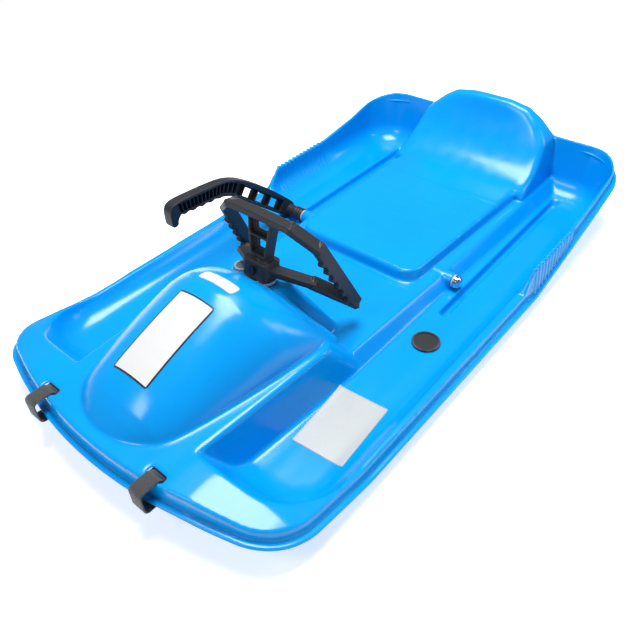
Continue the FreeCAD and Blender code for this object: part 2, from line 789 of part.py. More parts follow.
def skid_shape():
    foot = column_point(axis_distance(0)).y
    half = size("skid_width") / 2
    nose, bend, heel, thick = size("skid_nose"), size("skid_bend"), size("skid_heel"), size("skid_thick")
    side = [(-nose, size("skid_nose_low")), (-bend, 0), (heel, 0), (heel, size("skid_heel_rise"))]
    side += [(-bend, thick), (-nose, size("skid_nose_rise"))]
    soft, tight = size("skid_bend_radius"), size("skid_nose_radius")
    points = [Vector(-half, foot + y, z) for y, z in side]
    runner = swept_face(rounded(points, [tight, soft, tight, tight / 2, soft, tight]), Vector(2 * half, 0, 0))
    fin_half = size("skid_fin_half")
    low, high = size("skid_heel_rise") / 2, size("skid_fin_rise")
    ridge = [(-bend, low), (heel - thick, low), (size("socket_radius"), high), (-size("socket_radius"), high)]
    fin_points = [Vector(-fin_half, foot + y, z) for y, z in ridge]
    fin = swept_face(Part.makePolygon(fin_points + fin_points[:1]), Vector(2 * fin_half, 0, 0))
    socket_ends = axis_distance(size("socket_low")), axis_distance(size("socket_rise"))
    socket = on_column(size("socket_radius"), *socket_ends)
    bolt = column_point(axis_distance(size("skid_bolt_rise")))
    cheek_half = size("foot_half")
    cheek = across(size("cheek_radius"), -cheek_half, cheek_half, bolt.y, bolt.z)
    bore = on_column(size("column_radius") + size("running_gap"), -size("column_bottom"), 0)
    hole = across(size("bolt_radius") + size("running_gap"), -2 * half, 2 * half, bolt.y, bolt.z)
    return fuse([runner, fin, socket, cheek]).cut([bore, hole]).removeSplitter()


# Brake lever, claw and spring, measured from the axle
def axle_point(x, run, rise):
    """Point at X, a run behind the axle and a rise above it."""
    return Vector(x, along(from_rear("axle_station")) + run, above(size("axle_rise")) + rise)


def axle_rod(radius, start, end):
    middle = axle_point(0, 0, 0)
    return across(radius, start, end, middle.y, middle.z)


def hub_start():
    return size("axle_boss_outer") + size("axle_flange_thick") + size("end_gap")


def lever_shape():
    outer = -size("lever_centre") - size("lever_width") / 2
    lean = math.radians(size("arm_angle"))
    back, up = size("arm_half") * math.sin(lean), size("arm_half") * math.cos(lean)
    ring = [(back, up)]
    ring += [(-size(f"{name}_run"), size(f"{name}_rise")) for name in ("elbow", "grip_back", "grip_tip")]
    ring += [(-size("hook_run"), size("hook_top_rise")), (-size("hook_run"), size("hook_low_rise"))]
    ring += [(size("hook_thick") - size("hook_run"), size("hook_low_rise"))]
    ring += [(-size(f"{name}_run"), size(f"{name}_rise")) for name in ("palm_tip", "palm_back", "crook")]
    ring += [(-back, -up)]
    soft, tight = size("lever_soft_radius"), size("lever_tight_radius")
    radii = [0, soft, soft, tight, tight, tight, tight, tight, soft, soft, 0]
    points = [axle_point(outer, run, rise) for run, rise in ring]
    arm = swept_face(rounded(points, radii), Vector(size("lever_width"), 0, 0))
    hub = axle_rod(size("hub_radius"), outer, -hub_start())
    cuts = [axle_rod(size("axle_radius") + size("running_gap"), -size("axle_right"), 0)]
    pin = axle_point(-size("lever_pin_centre"), -2 * size("hub_radius"), 0)
    pin_hole = size("pin_radius") + size("running_gap")
    cuts.append(Part.makeCylinder(pin_hole, 4 * size("hub_radius"), pin, Vector(0, 1, 0)))
    return fuse([arm, hub]).cut(cuts + lever_windows(outer) + palm_fingers(outer)).removeSplitter()


def lever_windows(outer):
    """Three rounded windows along the lever's arm."""
    half_length, half_width = size("window_length") / 2, size("window_width") / 2
    corners = [(-half_length, -half_width), (half_length, -half_width)]
    corners += [(half_length, half_width), (-half_length, half_width)]
    points = [Vector(0, y, z) for y, z in corners]
    cutters = []
    for name in ("window_first", "window_second", "window_third"):
        wire = rounded(points, [size("window_radius")] * len(points))
        wire.rotate(Vector(0, 0, 0), Vector(1, 0, 0), -size("arm_angle"))
        lean = math.radians(size("arm_angle"))
        wire.translate(axle_point(outer, -size(name) * math.cos(lean), size(name) * math.sin(lean)))
        cutters.append(swept_face(wire, Vector(size("lever_width"), 0, 0)))
    return cutters


def palm_fingers(outer):
    """Round cutters along the underside of the lever's grip."""
    cutters = []
    length = size("palm_tip_run") - size("palm_back_run")
    slope = (size("palm_tip_rise") - size("palm_back_rise")) / length
    spare = length - (COUNTS["palm_finger"] - 1) * size("palm_finger_pitch")
    for index in range(COUNTS["palm_finger"]):
        run = size("palm_back_run") + spare / 2 + index * size("palm_finger_pitch")
        rise = size("palm_back_rise") + slope * (run - size("palm_back_run"))
        rise -= size("palm_finger_radius") - size("palm_finger_depth")
        cutters.append(Part.makeCylinder(size("palm_finger_radius"), size("lever_width"),
                                         axle_point(outer, -run, rise), Vector(1, 0, 0)))
    return cutters


def claw_shape():
    low, thick = -size("claw_plate_low"), size("claw_plate_thick")
    half = size("claw_half")
    length, bar = size("claw_length"), size("claw_bar_half")
    hub = axle_rod(size("claw_hub_radius"), -half, half)
    plate = Part.makeBox(2 * half, length, thick, axle_point(-half, 0, low))
    bar_run = size("claw_bar_end") - size("claw_bar_start")
    cross = Part.makeBox(2 * bar, bar_run, thick, axle_point(-bar, size("claw_bar_start"), low))
    teeth = []
    for index in range(COUNTS["tooth"]):
        middle = (index - 1) * (half - size("tooth_width") / 2)
        start = middle - size("tooth_width") / 2
        root = length - size("tooth_length")
        ring = [(root, low), (length, low + thick), (length, low - size("tooth_drop"))]
        points = [axle_point(start, run, rise) for run, rise in ring]
        teeth.append(swept_face(Part.makePolygon(points + points[:1]), Vector(size("tooth_width"), 0, 0)))
    bore = axle_rod(size("axle_radius") + size("running_gap"), -half, half)
    radius = size("claw_hub_radius")
    pin_hole = size("pin_radius") + size("running_gap")
    pin = Part.makeCylinder(pin_hole, 4 * radius, axle_point(0, 0, -2 * radius))
    return fuse([hub, plate, cross] + teeth).cut([bore, pin]).removeSplitter()


def spring_path():
    """Points down a leg from the seat, round the axle in a coil and out along a leg under the claw's bar."""
    radius, pitch = size("spring_radius"), size("spring_pitch")
    climb = pitch / (2 * math.pi * radius)
    seat_gap = size("seat_rise") - size("wall") - size("axle_rise") - climb * size("spring_wire_radius")
    steps = COUNTS["coil_turn"] * COUNTS["coil_step"] + COUNTS["coil_step"] // 4
    points = []
    for index in range(steps + 1):
        turn = 2 * math.pi * index / COUNTS["coil_step"]
        start = size("spring_start") + pitch * index / COUNTS["coil_step"]
        points.append(axle_point(start, -radius * math.cos(turn), -radius * math.sin(turn)))
    up = points[0] + Vector(-climb, 0, 1) * seat_gap
    back = points[-1] + Vector(climb, 1, 0) * size("spring_leg_run")
    return [up] + points + [back]


def spring_shape():
    """One unbroken wire of flat-sided section along the spring's path."""
    points = spring_path()
    way = (points[1] - points[0]).normalize()
    across_way = way.cross(Vector(0, 1, 0)).normalize()
    section = []
    for index in range(COUNTS["wire_side"]):
        turn = FreeCAD.Rotation(way, 360 * index / COUNTS["wire_side"])
        section.append(points[0] + turn.multVec(across_way) * size("spring_wire_radius"))
    sweep = Part.BRepOffsetAPI.MakePipeShell(Part.makePolygon(points))
    sweep.setTransitionMode(1)
    sweep.add(Part.makePolygon(section + section[:1]))
    sweep.build()
    sweep.makeSolid()
    return sweep.shape()


def spring_gap():
    """Least gap between parts of the wire that are not neighbours along it."""
    points = Part.makePolygon(spring_path()).discretize(Distance=size("spring_wire_radius") / 2)
    apart = int(math.pi * size("spring_radius") / (size("spring_wire_radius") / 2))
    pairs = ((one, other) for index, one in enumerate(points) for other in points[index + apart:])
    return min((one - other).Length for one, other in pairs) - 2 * size("spring_wire_radius")


def strap_shape(side):
    """Webbing band through its slot and round the lip."""
    thick = size("strap_thick")
    top = size("deck_rise") + thick
    rear = size("slot_station") + thick / 2
    corners = [(size("strap_front"), top), (rear, top), (rear, size("strap_low_rise"))]
    corners.append((size("strap_front"), size("strap_low_rise")))
    start = side * size("slot_centre") - size("strap_width") / 2
    points = [Vector(start, along(s), above(z)) for s, z in corners]
    outer = rounded(points, [size("strap_bend_radius")] * len(points))
    width = Vector(size("strap_width"), 0, 0)
    return swept_face(outer, width).cut(swept_face(outer.makeOffset2D(-thick), width))


def feature(label, shape):
    """Sub-part whose shape is made by code from the table."""
    node = doc.addObject("Part::Feature", label)
    node.Label = label
    node.Shape = shape
    nodes.append(node)


nodes = []
feature("hull", hull_shape())
feature("steering_yoke", yoke_shape())
feature("steering_skid", skid_shape())
feature("brake_lever", lever_shape())
feature("brake_claw", claw_shape())
feature("brake_spring", spring_shape())
feature("tow_strap_left", strap_shape(1))
feature("tow_strap_right", strap_shape(-1))


# Turned pieces: bound cylinders, fused, cut and set in place
ALONG_Z = FreeCAD.Rotation()
ALONG_X = FreeCAD.Rotation(Vector(0, 1, 0), 90)
ALONG_Y = FreeCAD.Rotation(Vector(1, 0, 0), -90)
COLUMN_PLACE = ("0", "sizes.column_station - sizes.frame_centre", "sizes.column_rise + sizes.floor_height")
AXLE_PLACE = ("0", "sizes.hull_length - sizes.axle_station - sizes.frame_centre",
              "sizes.axle_rise + sizes.floor_height")


def rod(radius, length, start="0", aim=ALONG_Z, middle=("0", "0", "0"), end_radius=None, sides=0):
    """Bound cylinder, cone or prism from a start along its own axis through a middle point."""
    kind = "Part::Cone" if end_radius else "Part::Prism" if sides else "Part::Cylinder"
    node = doc.addObject(kind, "rod")
    node.Placement.Rotation = aim
    if end_radius:
        node.setExpression("Radius1", radius)
        node.setExpression("Radius2", end_radius)
    elif sides:
        node.Polygon = sides
        node.setExpression("Circumradius", radius)
    else:
        node.setExpression("Radius", radius)
    node.setExpression("Height", length)
    direction = aim.multVec(Vector(0, 0, 1))
    for index, name in enumerate("xyz"):
        shift = f" + {start}" if round(direction[index]) else ""
        node.setExpression(f"Placement.Base.{name}", f"{middle[index]}{shift}")
    return node


def group(kind, label, members):
    node = doc.addObject(kind, label)
    node.Shapes = members
    return node


def turned(label, solids, cuts, place, tilted=False):
    """Fuses bound solids, cuts bound tools out of them and sets the piece in its place."""
    piece = solids[0] if len(solids) == 1 else group("Part::MultiFuse", "fused" if cuts else label, solids)
    if cuts:
        body = piece
        piece = doc.addObject("Part::Cut", label)
        piece.Base = body
        piece.Tool = cuts[0] if len(cuts) == 1 else group("Part::MultiFuse", "cutters", cuts)
    piece.Label = label
    if tilted:
        piece.Placement.Rotation = FreeCAD.Rotation(Vector(-1, 0, 0), size("column_tilt"))
        piece.setExpression("Placement.Rotation.Angle", "sizes.column_tilt")
    for name, text in zip("xyz", place):
        if text != "0":
            piece.setExpression(f"Placement.Base.{name}", text)
    nodes.append(piece)


BASE = "sizes.bush_flange_thick + sizes.end_gap + sizes.washer_thick"
YOKE_BOLT = f"{BASE} + sizes.foot_bolt_rise"
SKID_BOLT = "(sizes.skid_bolt_rise - sizes.column_rise - sizes.floor_height) / cos(sizes.column_tilt * 1 deg)"
COLUMN_BORE = "sizes.column_radius + sizes.running_gap"
BOLT_BORE = "sizes.bolt_radius + sizes.running_gap"
AXLE_BORE = "sizes.axle_radius + sizes.running_gap"
PIN_BORE = "sizes.pin_radius + sizes.running_gap"
HUB_START = "sizes.axle_boss_outer + sizes.axle_flange_thick + sizes.end_gap"


def cross_hole(height, aim):
    return rod(BOLT_BORE, "4 * sizes.column_radius", "-2 * sizes.column_radius", aim, ("0", "0", height))


# Steering: column, bush, washer, ring and clamp bolts
COLUMN_LENGTH = "sizes.column_top + sizes.column_bottom"
turned("steering_column", [rod("sizes.column_radius", COLUMN_LENGTH, "-sizes.column_bottom")],
       [rod("sizes.column_bore_radius", COLUMN_LENGTH, "-sizes.column_bottom"),
        cross_hole(YOKE_BOLT, ALONG_Y), cross_hole(SKID_BOLT, ALONG_X)], COLUMN_PLACE, True)
turned("column_bush", [rod("sizes.bush_radius", "sizes.bush_length", "-sizes.bush_length"),
                       rod("sizes.bush_flange_radius", "sizes.bush_flange_thick")],
       [rod(COLUMN_BORE, "2 * sizes.bush_length", "-sizes.bush_length")], COLUMN_PLACE, True)
WASHER_START = "sizes.bush_flange_thick + sizes.end_gap"
turned("thrust_washer", [rod("sizes.washer_radius", "sizes.washer_thick", WASHER_START)],
       [rod(COLUMN_BORE, "2 * sizes.bush_length", "-sizes.bush_length")], COLUMN_PLACE, True)
turned("retaining_ring", [rod("sizes.ring_radius", "sizes.ring_thick",
                              "-sizes.bush_length - sizes.end_gap - sizes.ring_thick")],
       [rod(COLUMN_BORE, "4 * sizes.bush_length", "-2 * sizes.bush_length")], COLUMN_PLACE, True)
for owner, height, aim, half in (("yoke", YOKE_BOLT, ALONG_Y, "sizes.foot_depth_half"),
                                 ("skid", SKID_BOLT, ALONG_X, "sizes.foot_half")):
    spot = ("0", "0", height)
    turned(f"{owner}_bolt",
           [rod("sizes.bolt_radius", f"2 * {half} + sizes.bolt_spare", f"-{half}", aim, spot),
            rod("sizes.bolt_head_radius", "sizes.bolt_head_thick", f"-{half} - sizes.bolt_head_thick",
                aim, spot, sides=COUNTS["hex_side"])], [], COLUMN_PLACE, True)
    nut = rod("sizes.nut_radius", "sizes.nut_thick", half, aim, spot, sides=COUNTS["hex_side"])
    turned(f"{owner}_nut", [nut],
           [rod(BOLT_BORE, f"2 * {half}", "0", aim, spot)], COLUMN_PLACE, True)

# Brake: axle, bushes, pins and push cap
PIN_SPOT = ("-sizes.lever_pin_centre", "0", "0")
AXLE_LENGTH = "sizes.axle_left + sizes.axle_right"
turned("brake_axle", [rod("sizes.axle_radius", AXLE_LENGTH, "-sizes.axle_right", ALONG_X)],
       [rod(PIN_BORE, "4 * sizes.axle_radius", "-2 * sizes.axle_radius", ALONG_Y, PIN_SPOT),
        rod(PIN_BORE, "4 * sizes.axle_radius", "-2 * sizes.axle_radius")], AXLE_PLACE)
turned("lever_pin", [rod("sizes.pin_radius", "2 * sizes.hub_radius", "-sizes.hub_radius", ALONG_Y, PIN_SPOT)],
       [], AXLE_PLACE)
turned("claw_pin", [rod("sizes.pin_radius", "2 * sizes.claw_hub_radius", "-sizes.claw_hub_radius")],
       [], AXLE_PLACE)
turned("axle_cap", [rod("sizes.cap_radius", "sizes.cap_length - sizes.cap_round", HUB_START, ALONG_X),
                    rod("sizes.cap_radius", "sizes.cap_round",
                        f"{HUB_START} + sizes.cap_length - sizes.cap_round", ALONG_X,
                        end_radius="sizes.cap_radius - sizes.cap_round")],
       [rod(AXLE_BORE, "sizes.axle_left", "0", ALONG_X)], AXLE_PLACE)
SLEEVE = "sizes.axle_boss_outer - sizes.axle_boss_inner"
for side, sleeve, flange in (
        ("left", "sizes.axle_boss_inner", "sizes.axle_boss_outer"),
        ("right", "-sizes.axle_boss_outer", "-sizes.axle_boss_outer - sizes.axle_flange_thick")):
    turned(f"axle_bush_{side}", [rod("sizes.axle_bush_radius", SLEEVE, sleeve, ALONG_X),
                                 rod("sizes.axle_flange_radius", "sizes.axle_flange_thick", flange, ALONG_X)],
           [rod(AXLE_BORE, "4 * sizes.axle_boss_outer", "-2 * sizes.axle_boss_outer", ALONG_X)], AXLE_PLACE)

# Plugs with a dished head
for owner, centre, station, level in (
        ("floor_plug", "sizes.floor_plug_centre", "sizes.hull_length - sizes.floor_plug_station",
         "sizes.floor_height"),
        ("cowl_plug", "-sizes.cowl_plug_centre", "sizes.cowl_plug_station",
         "sizes.cowl_plug_boss_rise + sizes.floor_height")):
    turned(owner, [rod(f"sizes.{owner}_radius", f"sizes.{owner}_head"),
                   rod(f"sizes.{owner}_stem_radius - sizes.running_gap", f"sizes.{owner}_stem",
                       f"-sizes.{owner}_stem")],
           [rod(f"sizes.{owner}_radius - sizes.plug_rim", f"sizes.{owner}_head",
                f"sizes.{owner}_head - sizes.plug_dish")],
           (centre, f"{station} - sizes.frame_centre", level))

# Checks, then one file for each sub-part
doc.recompute()
for node in doc.Objects:
    if "Invalid" in node.State or "Error" in node.State:
        raise RuntimeError(f"{node.Label} did not compute")
os.makedirs("parts", exist_ok=True)
for node in nodes:
    if node.Shape.isNull() or not node.Shape.isValid():
        raise RuntimeError(f"{node.Label} has no valid shape")
    if len(node.Shape.Solids) != 1:
        raise RuntimeError(f"{node.Label} is {len(node.Shape.Solids)} solids")
    node.Shape.exportStep(f"parts/{node.Label}.step")
print(f"{len(nodes)} sub-parts, spring self-gap {spring_gap():.2f} mm")
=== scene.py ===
"""Looks of the steering sled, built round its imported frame, in metres: nose to -Y, rider's left +X, +Z up."""
import json
import math

import bmesh
import bpy
import numpy as np
from mathutils import Matrix, Vector
from mathutils.bvhtree import BVHTree
from mathutils.geometry import convex_hull_2d


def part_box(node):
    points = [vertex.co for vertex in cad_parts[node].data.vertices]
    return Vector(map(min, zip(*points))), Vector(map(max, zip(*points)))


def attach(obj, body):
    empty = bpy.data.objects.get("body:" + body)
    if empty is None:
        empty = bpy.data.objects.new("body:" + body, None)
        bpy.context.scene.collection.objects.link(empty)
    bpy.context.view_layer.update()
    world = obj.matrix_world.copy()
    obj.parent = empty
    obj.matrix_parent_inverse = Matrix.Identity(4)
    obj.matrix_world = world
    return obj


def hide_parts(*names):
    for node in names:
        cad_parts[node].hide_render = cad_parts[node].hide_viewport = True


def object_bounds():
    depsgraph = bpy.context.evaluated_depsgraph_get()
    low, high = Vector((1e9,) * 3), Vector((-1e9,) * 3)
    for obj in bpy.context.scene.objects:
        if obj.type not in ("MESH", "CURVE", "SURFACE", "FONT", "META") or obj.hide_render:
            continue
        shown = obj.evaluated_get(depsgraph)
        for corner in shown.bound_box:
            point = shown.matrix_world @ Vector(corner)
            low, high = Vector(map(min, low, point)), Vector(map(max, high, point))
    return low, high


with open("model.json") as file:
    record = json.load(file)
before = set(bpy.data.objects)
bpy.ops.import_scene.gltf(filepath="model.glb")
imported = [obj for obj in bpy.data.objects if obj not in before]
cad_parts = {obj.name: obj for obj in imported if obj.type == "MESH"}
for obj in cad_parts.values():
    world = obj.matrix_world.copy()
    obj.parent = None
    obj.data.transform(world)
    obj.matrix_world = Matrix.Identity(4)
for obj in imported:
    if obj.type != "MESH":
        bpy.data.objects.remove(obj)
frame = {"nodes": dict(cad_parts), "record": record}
cad_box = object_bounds()

MM = 0.001
WELD = 0.001 * MM
# Shares of smoothing: plain, and the backward step that keeps a form while its grain is smoothed
PLAIN_STEP = 0.5
BACK_STEP = -0.52
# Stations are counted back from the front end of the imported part
FRONT = cad_box[0].y
# Start of a probing ray, well clear of the part
RAY_START = 1

# Camera at the photograph's viewing angle
CAMERA_PLACE = (0.4689, -0.6170, 0.6174)
CAMERA_AZIMUTH = math.radians(40.27)
CAMERA_ELEVATION = math.radians(41.92)
CAMERA_ROLL = math.radians(-1.48)
PHOTO_PIXELS = 640
FOCAL_PIXELS = 621.44
SENSOR_MM = 36

# Colours, linear
BLUE = (0.0, 0.305, 0.78)
BLUE_DEEP = (0.0, 0.28, 0.74)
BLUE_WORN = (0.02, 0.37, 0.82)
BLACK = (0.021, 0.023, 0.026)
BLACK_WORN = (0.075, 0.078, 0.082)
STEEL = (0.55, 0.56, 0.57)
STEEL_DARK = (0.34, 0.35, 0.37)
CHROME = (0.80, 0.81, 0.83)
BUSH = (0.42, 0.42, 0.40)
GREY = (0.13, 0.14, 0.16)
DARK_STEEL = (0.05, 0.05, 0.055)
WEBBING = (0.016, 0.017, 0.019)
PAPER = (0.64, 0.65, 0.66)
CARD_PAPER = (0.44, 0.46, 0.455)
INK = (0.02, 0.022, 0.026)
BAND = (0.45, 0.48, 0.52)
FLOOR = (0.90, 0.90, 0.90)
FLOOR_GLOW = 0.55
# Strength of the surroundings as a light, and as the camera sees them behind the floor
WORLD_LIGHT = 0.18
WORLD_SEEN = 0.72

material_slots = {row["node"]: row["material_slot"] for row in frame["record"]["subparts"]}
body_nodes = frame["record"]["behaviour"]["bodies"]

# Faces of a block whose corners are four of one end and then four of the other
BOX_FACES = [(3, 2, 1, 0), (4, 5, 6, 7), (0, 1, 5, 4), (1, 2, 6, 5), (2, 3, 7, 6), (3, 0, 4, 7)]


# Meshes
def link(piece):
    """Puts a new object into the scene."""
    bpy.context.collection.objects.link(piece)
    return piece


def mesh_piece(name, points, faces):
    """New object from points and faces, shaded smooth."""
    mesh = bpy.data.meshes.new(name)
    mesh.from_pydata([tuple(point) for point in points], [], faces)
    mesh.update()
    mesh.shade_smooth()
    return link(bpy.data.objects.new(name, mesh))


def ring_faces(rings, count):
    """Faces of a closed tube of rings with count points each, all facing outward."""
    faces = []
    for ring in range(rings):
        ahead = (ring + 1) % rings
        for index in range(count):
            after = (index + 1) % count
            faces.append((ring * count + index, ahead * count + index,
                          ahead * count + after, ring * count + after))
    return faces


def extrusion_faces(count):
    """Faces of a solid between two like outlines of count points each."""
    faces = [tuple(range(count)), tuple(range(count, 2 * count))]
    for index in range(count):
        after = (index + 1) % count
        faces.append((index, after, count + after, count + index))
    return faces


def outward(piece):
    """Turns all faces of a piece outward."""
    shell = bmesh.new()
    shell.from_mesh(piece.data)
    bmesh.ops.recalc_face_normals(shell, faces=shell.faces)
    shell.to_mesh(piece.data)
    shell.free()
    return piece


def applied(piece):
    """Replaces a piece's mesh by what its modifiers make of it."""
    bpy.context.view_layer.update()
    shown = piece.evaluated_get(bpy.context.evaluated_depsgraph_get())
    mesh = bpy.data.meshes.new_from_object(shown)
    piece.modifiers.clear()
    piece.data = mesh


def relax(mesh, passes):
    """Smoothing passes of (rounds, steps): each round moves points towards their neighbours' middle.

    The function steps gives two shares a point, used in turn; a second share below zero keeps the form."""
    count = len(mesh.vertices)
    points = np.empty(count * 3)
    mesh.vertices.foreach_get("co", points)
    points = points.reshape(-1, 3)
    pairs = np.empty(len(mesh.edges) * 2, dtype=np.int64)
    mesh.edges.foreach_get("vertices", pairs)
    pairs = pairs.reshape(-1, 2)
    here = np.concatenate([pairs[:, 0], pairs[:, 1]])
    there = np.concatenate([pairs[:, 1], pairs[:, 0]])
    for rounds, steps in passes:
        shares = steps(points)
        moved = np.flatnonzero(shares[0])
        place = np.full(count, -1)
        place[moved] = np.arange(len(moved))
        used = place[here] >= 0
        rows, sources = place[here[used]], there[used]
        neighbours = np.bincount(rows, minlength=len(moved))
        for turn in range(rounds):
            middles = [np.bincount(rows, points[sources, axis], len(moved)) / neighbours for axis in range(3)]
            points[moved] += (np.stack(middles, 1) - points[moved]) * shares[turn % 2][moved, None]
    return points


def evenly(points):
    """The same plain smoothing step for all points."""
    share = np.full(len(points), PLAIN_STEP)
    return share, share


def carve(piece, cutters):
    """Cuts other objects out of a piece and deletes them."""
    if cutters:
        weld = piece.modifiers.new("weld", "WELD")
        weld.merge_threshold = WELD
    for cutter in cutters:
        cut = piece.modifiers.new("cut", "BOOLEAN")
        cut.object = cutter
        cut.solver = "EXACT"
    applied(piece)
    for cutter in cutters:
        bpy.data.objects.remove(cutter)


def take_in(piece, extra):
    """Adds another object's mesh to a piece and deletes that object."""
    shell = bmesh.new()
    shell.from_mesh(piece.data)
    shell.from_mesh(extra.data)
    shell.to_mesh(piece.data)
    shell.free()
    bpy.data.objects.remove(extra)


def body_of(node):
    """Name of the body that carries a node."""
    return next(body for body, nodes in body_nodes.items() if node in nodes)


def softened(name, node, voxel, passes, detail_share, cutters=(), reshape=None, solid=None, extra=None):
    """A node's solid, or another in its place, cut where asked, with edges rounded as on moulded plastic."""
    piece = link(bpy.data.objects.new(name, solid.data if solid else frame["nodes"][node].data.copy()))
    if solid:
        bpy.data.objects.remove(solid)
    piece.data.materials.clear()
    carve(piece, cutters)
    if extra:
        take_in(piece, extra)
    remesh = piece.modifiers.new("voxels", "REMESH")
    remesh.mode = "VOXEL"
    remesh.voxel_size = voxel
    applied(piece)
    points = relax(piece.data, passes)
    if reshape:
        points = reshape(points)
    piece.data.vertices.foreach_set("co", points.ravel())
    piece.data.update()
    decimate = piece.modifiers.new("fewer", "DECIMATE")
    decimate.ratio = detail_share
    applied(piece)
    piece.data.shade_smooth()
    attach(piece, body_of(node))
    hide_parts(node)
    return piece


# Materials: cells are a metre's count, depths are in metres, strengths and fades are shares
CLOUD_CELLS, CLOUD_DEPTH, CLOUD_STRENGTH = 9, 1.2 * MM, 0.25
RUB_CELLS = 60
SCUFF_CELLS, SCUFF_DETAIL, SCUFF_STRETCH = 40, 5, (1, 0.08, 1)
GRAIN_DETAIL, GRAIN_STRENGTH = 4, 0.3
LINE_CELLS, LINE_DEPTH, LINE_STRENGTH = 900, 0.05 * MM, 0.3
SPOT_CELLS = 120
WEAVE_CELLS = {"X": 260, "Y": 330}
WEAVE_DISTORTION, WEAVE_DEPTH, WEAVE_STRENGTH = 0.4, 0.35 * MM, 0.7
# Painted highlight on the weave: threads raised above the floor share are painted this many times lighter
WEAVE_FLOOR, WEAVE_LIT_SHARE = 0.2, 3.2
FUZZ_CELLS, FUZZ_ROUGHNESS, FUZZ_SHEEN = 500, (0.6, 0.9), 0.25
FIBRE_CELLS, FIBRE_DEPTH, FIBRE_STRENGTH = 700, 0.03 * MM, 0.2
FIBRE_FADE, FIBRE_LIFT = 0.93, 0.005
COAT_CELLS, COAT_ROUGHNESS = 80, (0.3, 0.45)
FLOOR_CELLS, FLOOR_FADE, FLOOR_ROUGHNESS = 3, 0.97, 0.7


def shader_of(name):
    material = bpy.data.materials.new(name)
    material.use_nodes = True
    return material, material.node_tree, material.node_tree.nodes["Principled BSDF"]


def add(tree, kind, links=(), **values):
    """New node with its inputs set by name and its links made from (input, socket) pairs."""
    node = tree.nodes.new(kind)
    for key, value in values.items():
        setattr(node, key, value)
    for key, socket in links:
        if hasattr(socket, "is_output"):
            tree.links.new(socket, node.inputs[key])
        else:
            node.inputs[key].default_value = socket
    return node


def noise(tree, scale, detail=3, stretch=(1, 1, 1)):
    """Noise in the object's own space, scale in cells a metre."""
    place = add(tree, "ShaderNodeTexCoord").outputs["Object"]
    mapped = add(tree, "ShaderNodeMapping", [("Vector", place), ("Scale", stretch)]).outputs["Vector"]
    texture = add(tree, "ShaderNodeTexNoise", [("Vector", mapped), ("Scale", scale), ("Detail", detail)])
    return texture.outputs["Fac"]


def spread(tree, socket, low, high, start=0.3, end=0.7):
    """Maps a socket's middle stretch to a range."""
    node = add(tree, "ShaderNodeMapRange", [("Value", socket), ("From Min", start), ("From Max", end),
                                            ("To Min", low), ("To Max", high)])
    return node.outputs["Result"]


def mixed(tree, share, one, other):
    """Colour between two others, each a colour or a socket, as is the share."""
    node = add(tree, "ShaderNodeMix", data_type="RGBA")
    for key, value in (("Factor", share), ("A", one), ("B", other)):
        socket = next(s for s in node.inputs if s.name == key and (key == "Factor" or s.type == "RGBA"))
        if hasattr(value, "is_output"):
            tree.links.new(value, socket)
        else:
            socket.default_value = (*value, 1) if key != "Factor" else value
    return next(s for s in node.outputs if s.type == "RGBA")


def bumped(tree, shader, heights):
    """Chains bumps of (socket, distance in metres, strength) into the shader's normal."""
    normal = None
    for socket, distance, strength in heights:
        links = [("Height", socket), ("Distance", distance), ("Strength", strength)]
        if normal:
            links.append(("Normal", normal))
        normal = add(tree, "ShaderNodeBump", links).outputs["Normal"]
    tree.links.new(normal, shader.inputs["Normal"])


def edges(tree, start, end):
    """Share of wear, highest on outward edges."""
    return spread(tree, add(tree, "ShaderNodeNewGeometry").outputs["Pointiness"], 0, 1, start, end)


def moulded(name, base, deep, worn, roughness, grain_cells, grain_depth, wear, gloss):
    """Moulded plastic: cloudy colour, fine grain, uneven gloss and worn edges."""
    material, tree, shader = shader_of(name)
    shader.inputs["Specular IOR Level"].default_value = gloss
    clouds = noise(tree, CLOUD_CELLS)
    colour = mixed(tree, spread(tree, clouds, 0, 1), base, deep)
    patches = spread(tree, noise(tree, RUB_CELLS), 0, 1)
    rub = add(tree, "ShaderNodeMath", enumerate((edges(tree, *wear), patches)), operation="MULTIPLY")
    tree.links.new(mixed(tree, rub.outputs["Value"], colour, worn), shader.inputs["Base Color"])
    scuffs = noise(tree, SCUFF_CELLS, SCUFF_DETAIL, SCUFF_STRETCH)
    tree.links.new(spread(tree, scuffs, *roughness), shader.inputs["Roughness"])
    grain = noise(tree, grain_cells, GRAIN_DETAIL)
    bumped(tree, shader, [(clouds, CLOUD_DEPTH, CLOUD_STRENGTH), (grain, grain_depth, GRAIN_STRENGTH)])
    return material


def metal(name, base, dark, roughness, stretch):
    """Drawn metal: lines along one way and a spotted dullness."""
    material, tree, shader = shader_of(name)
    lines = noise(tree, LINE_CELLS, stretch=stretch)
    spots = spread(tree, noise(tree, SPOT_CELLS), 0, 1)
    tree.links.new(mixed(tree, spots, base, dark), shader.inputs["Base Color"])
    tree.links.new(spread(tree, lines, *roughness), shader.inputs["Roughness"])
    shader.inputs["Metallic"].default_value = 1
    bumped(tree, shader, [(lines, LINE_DEPTH, LINE_STRENGTH)])
    return material


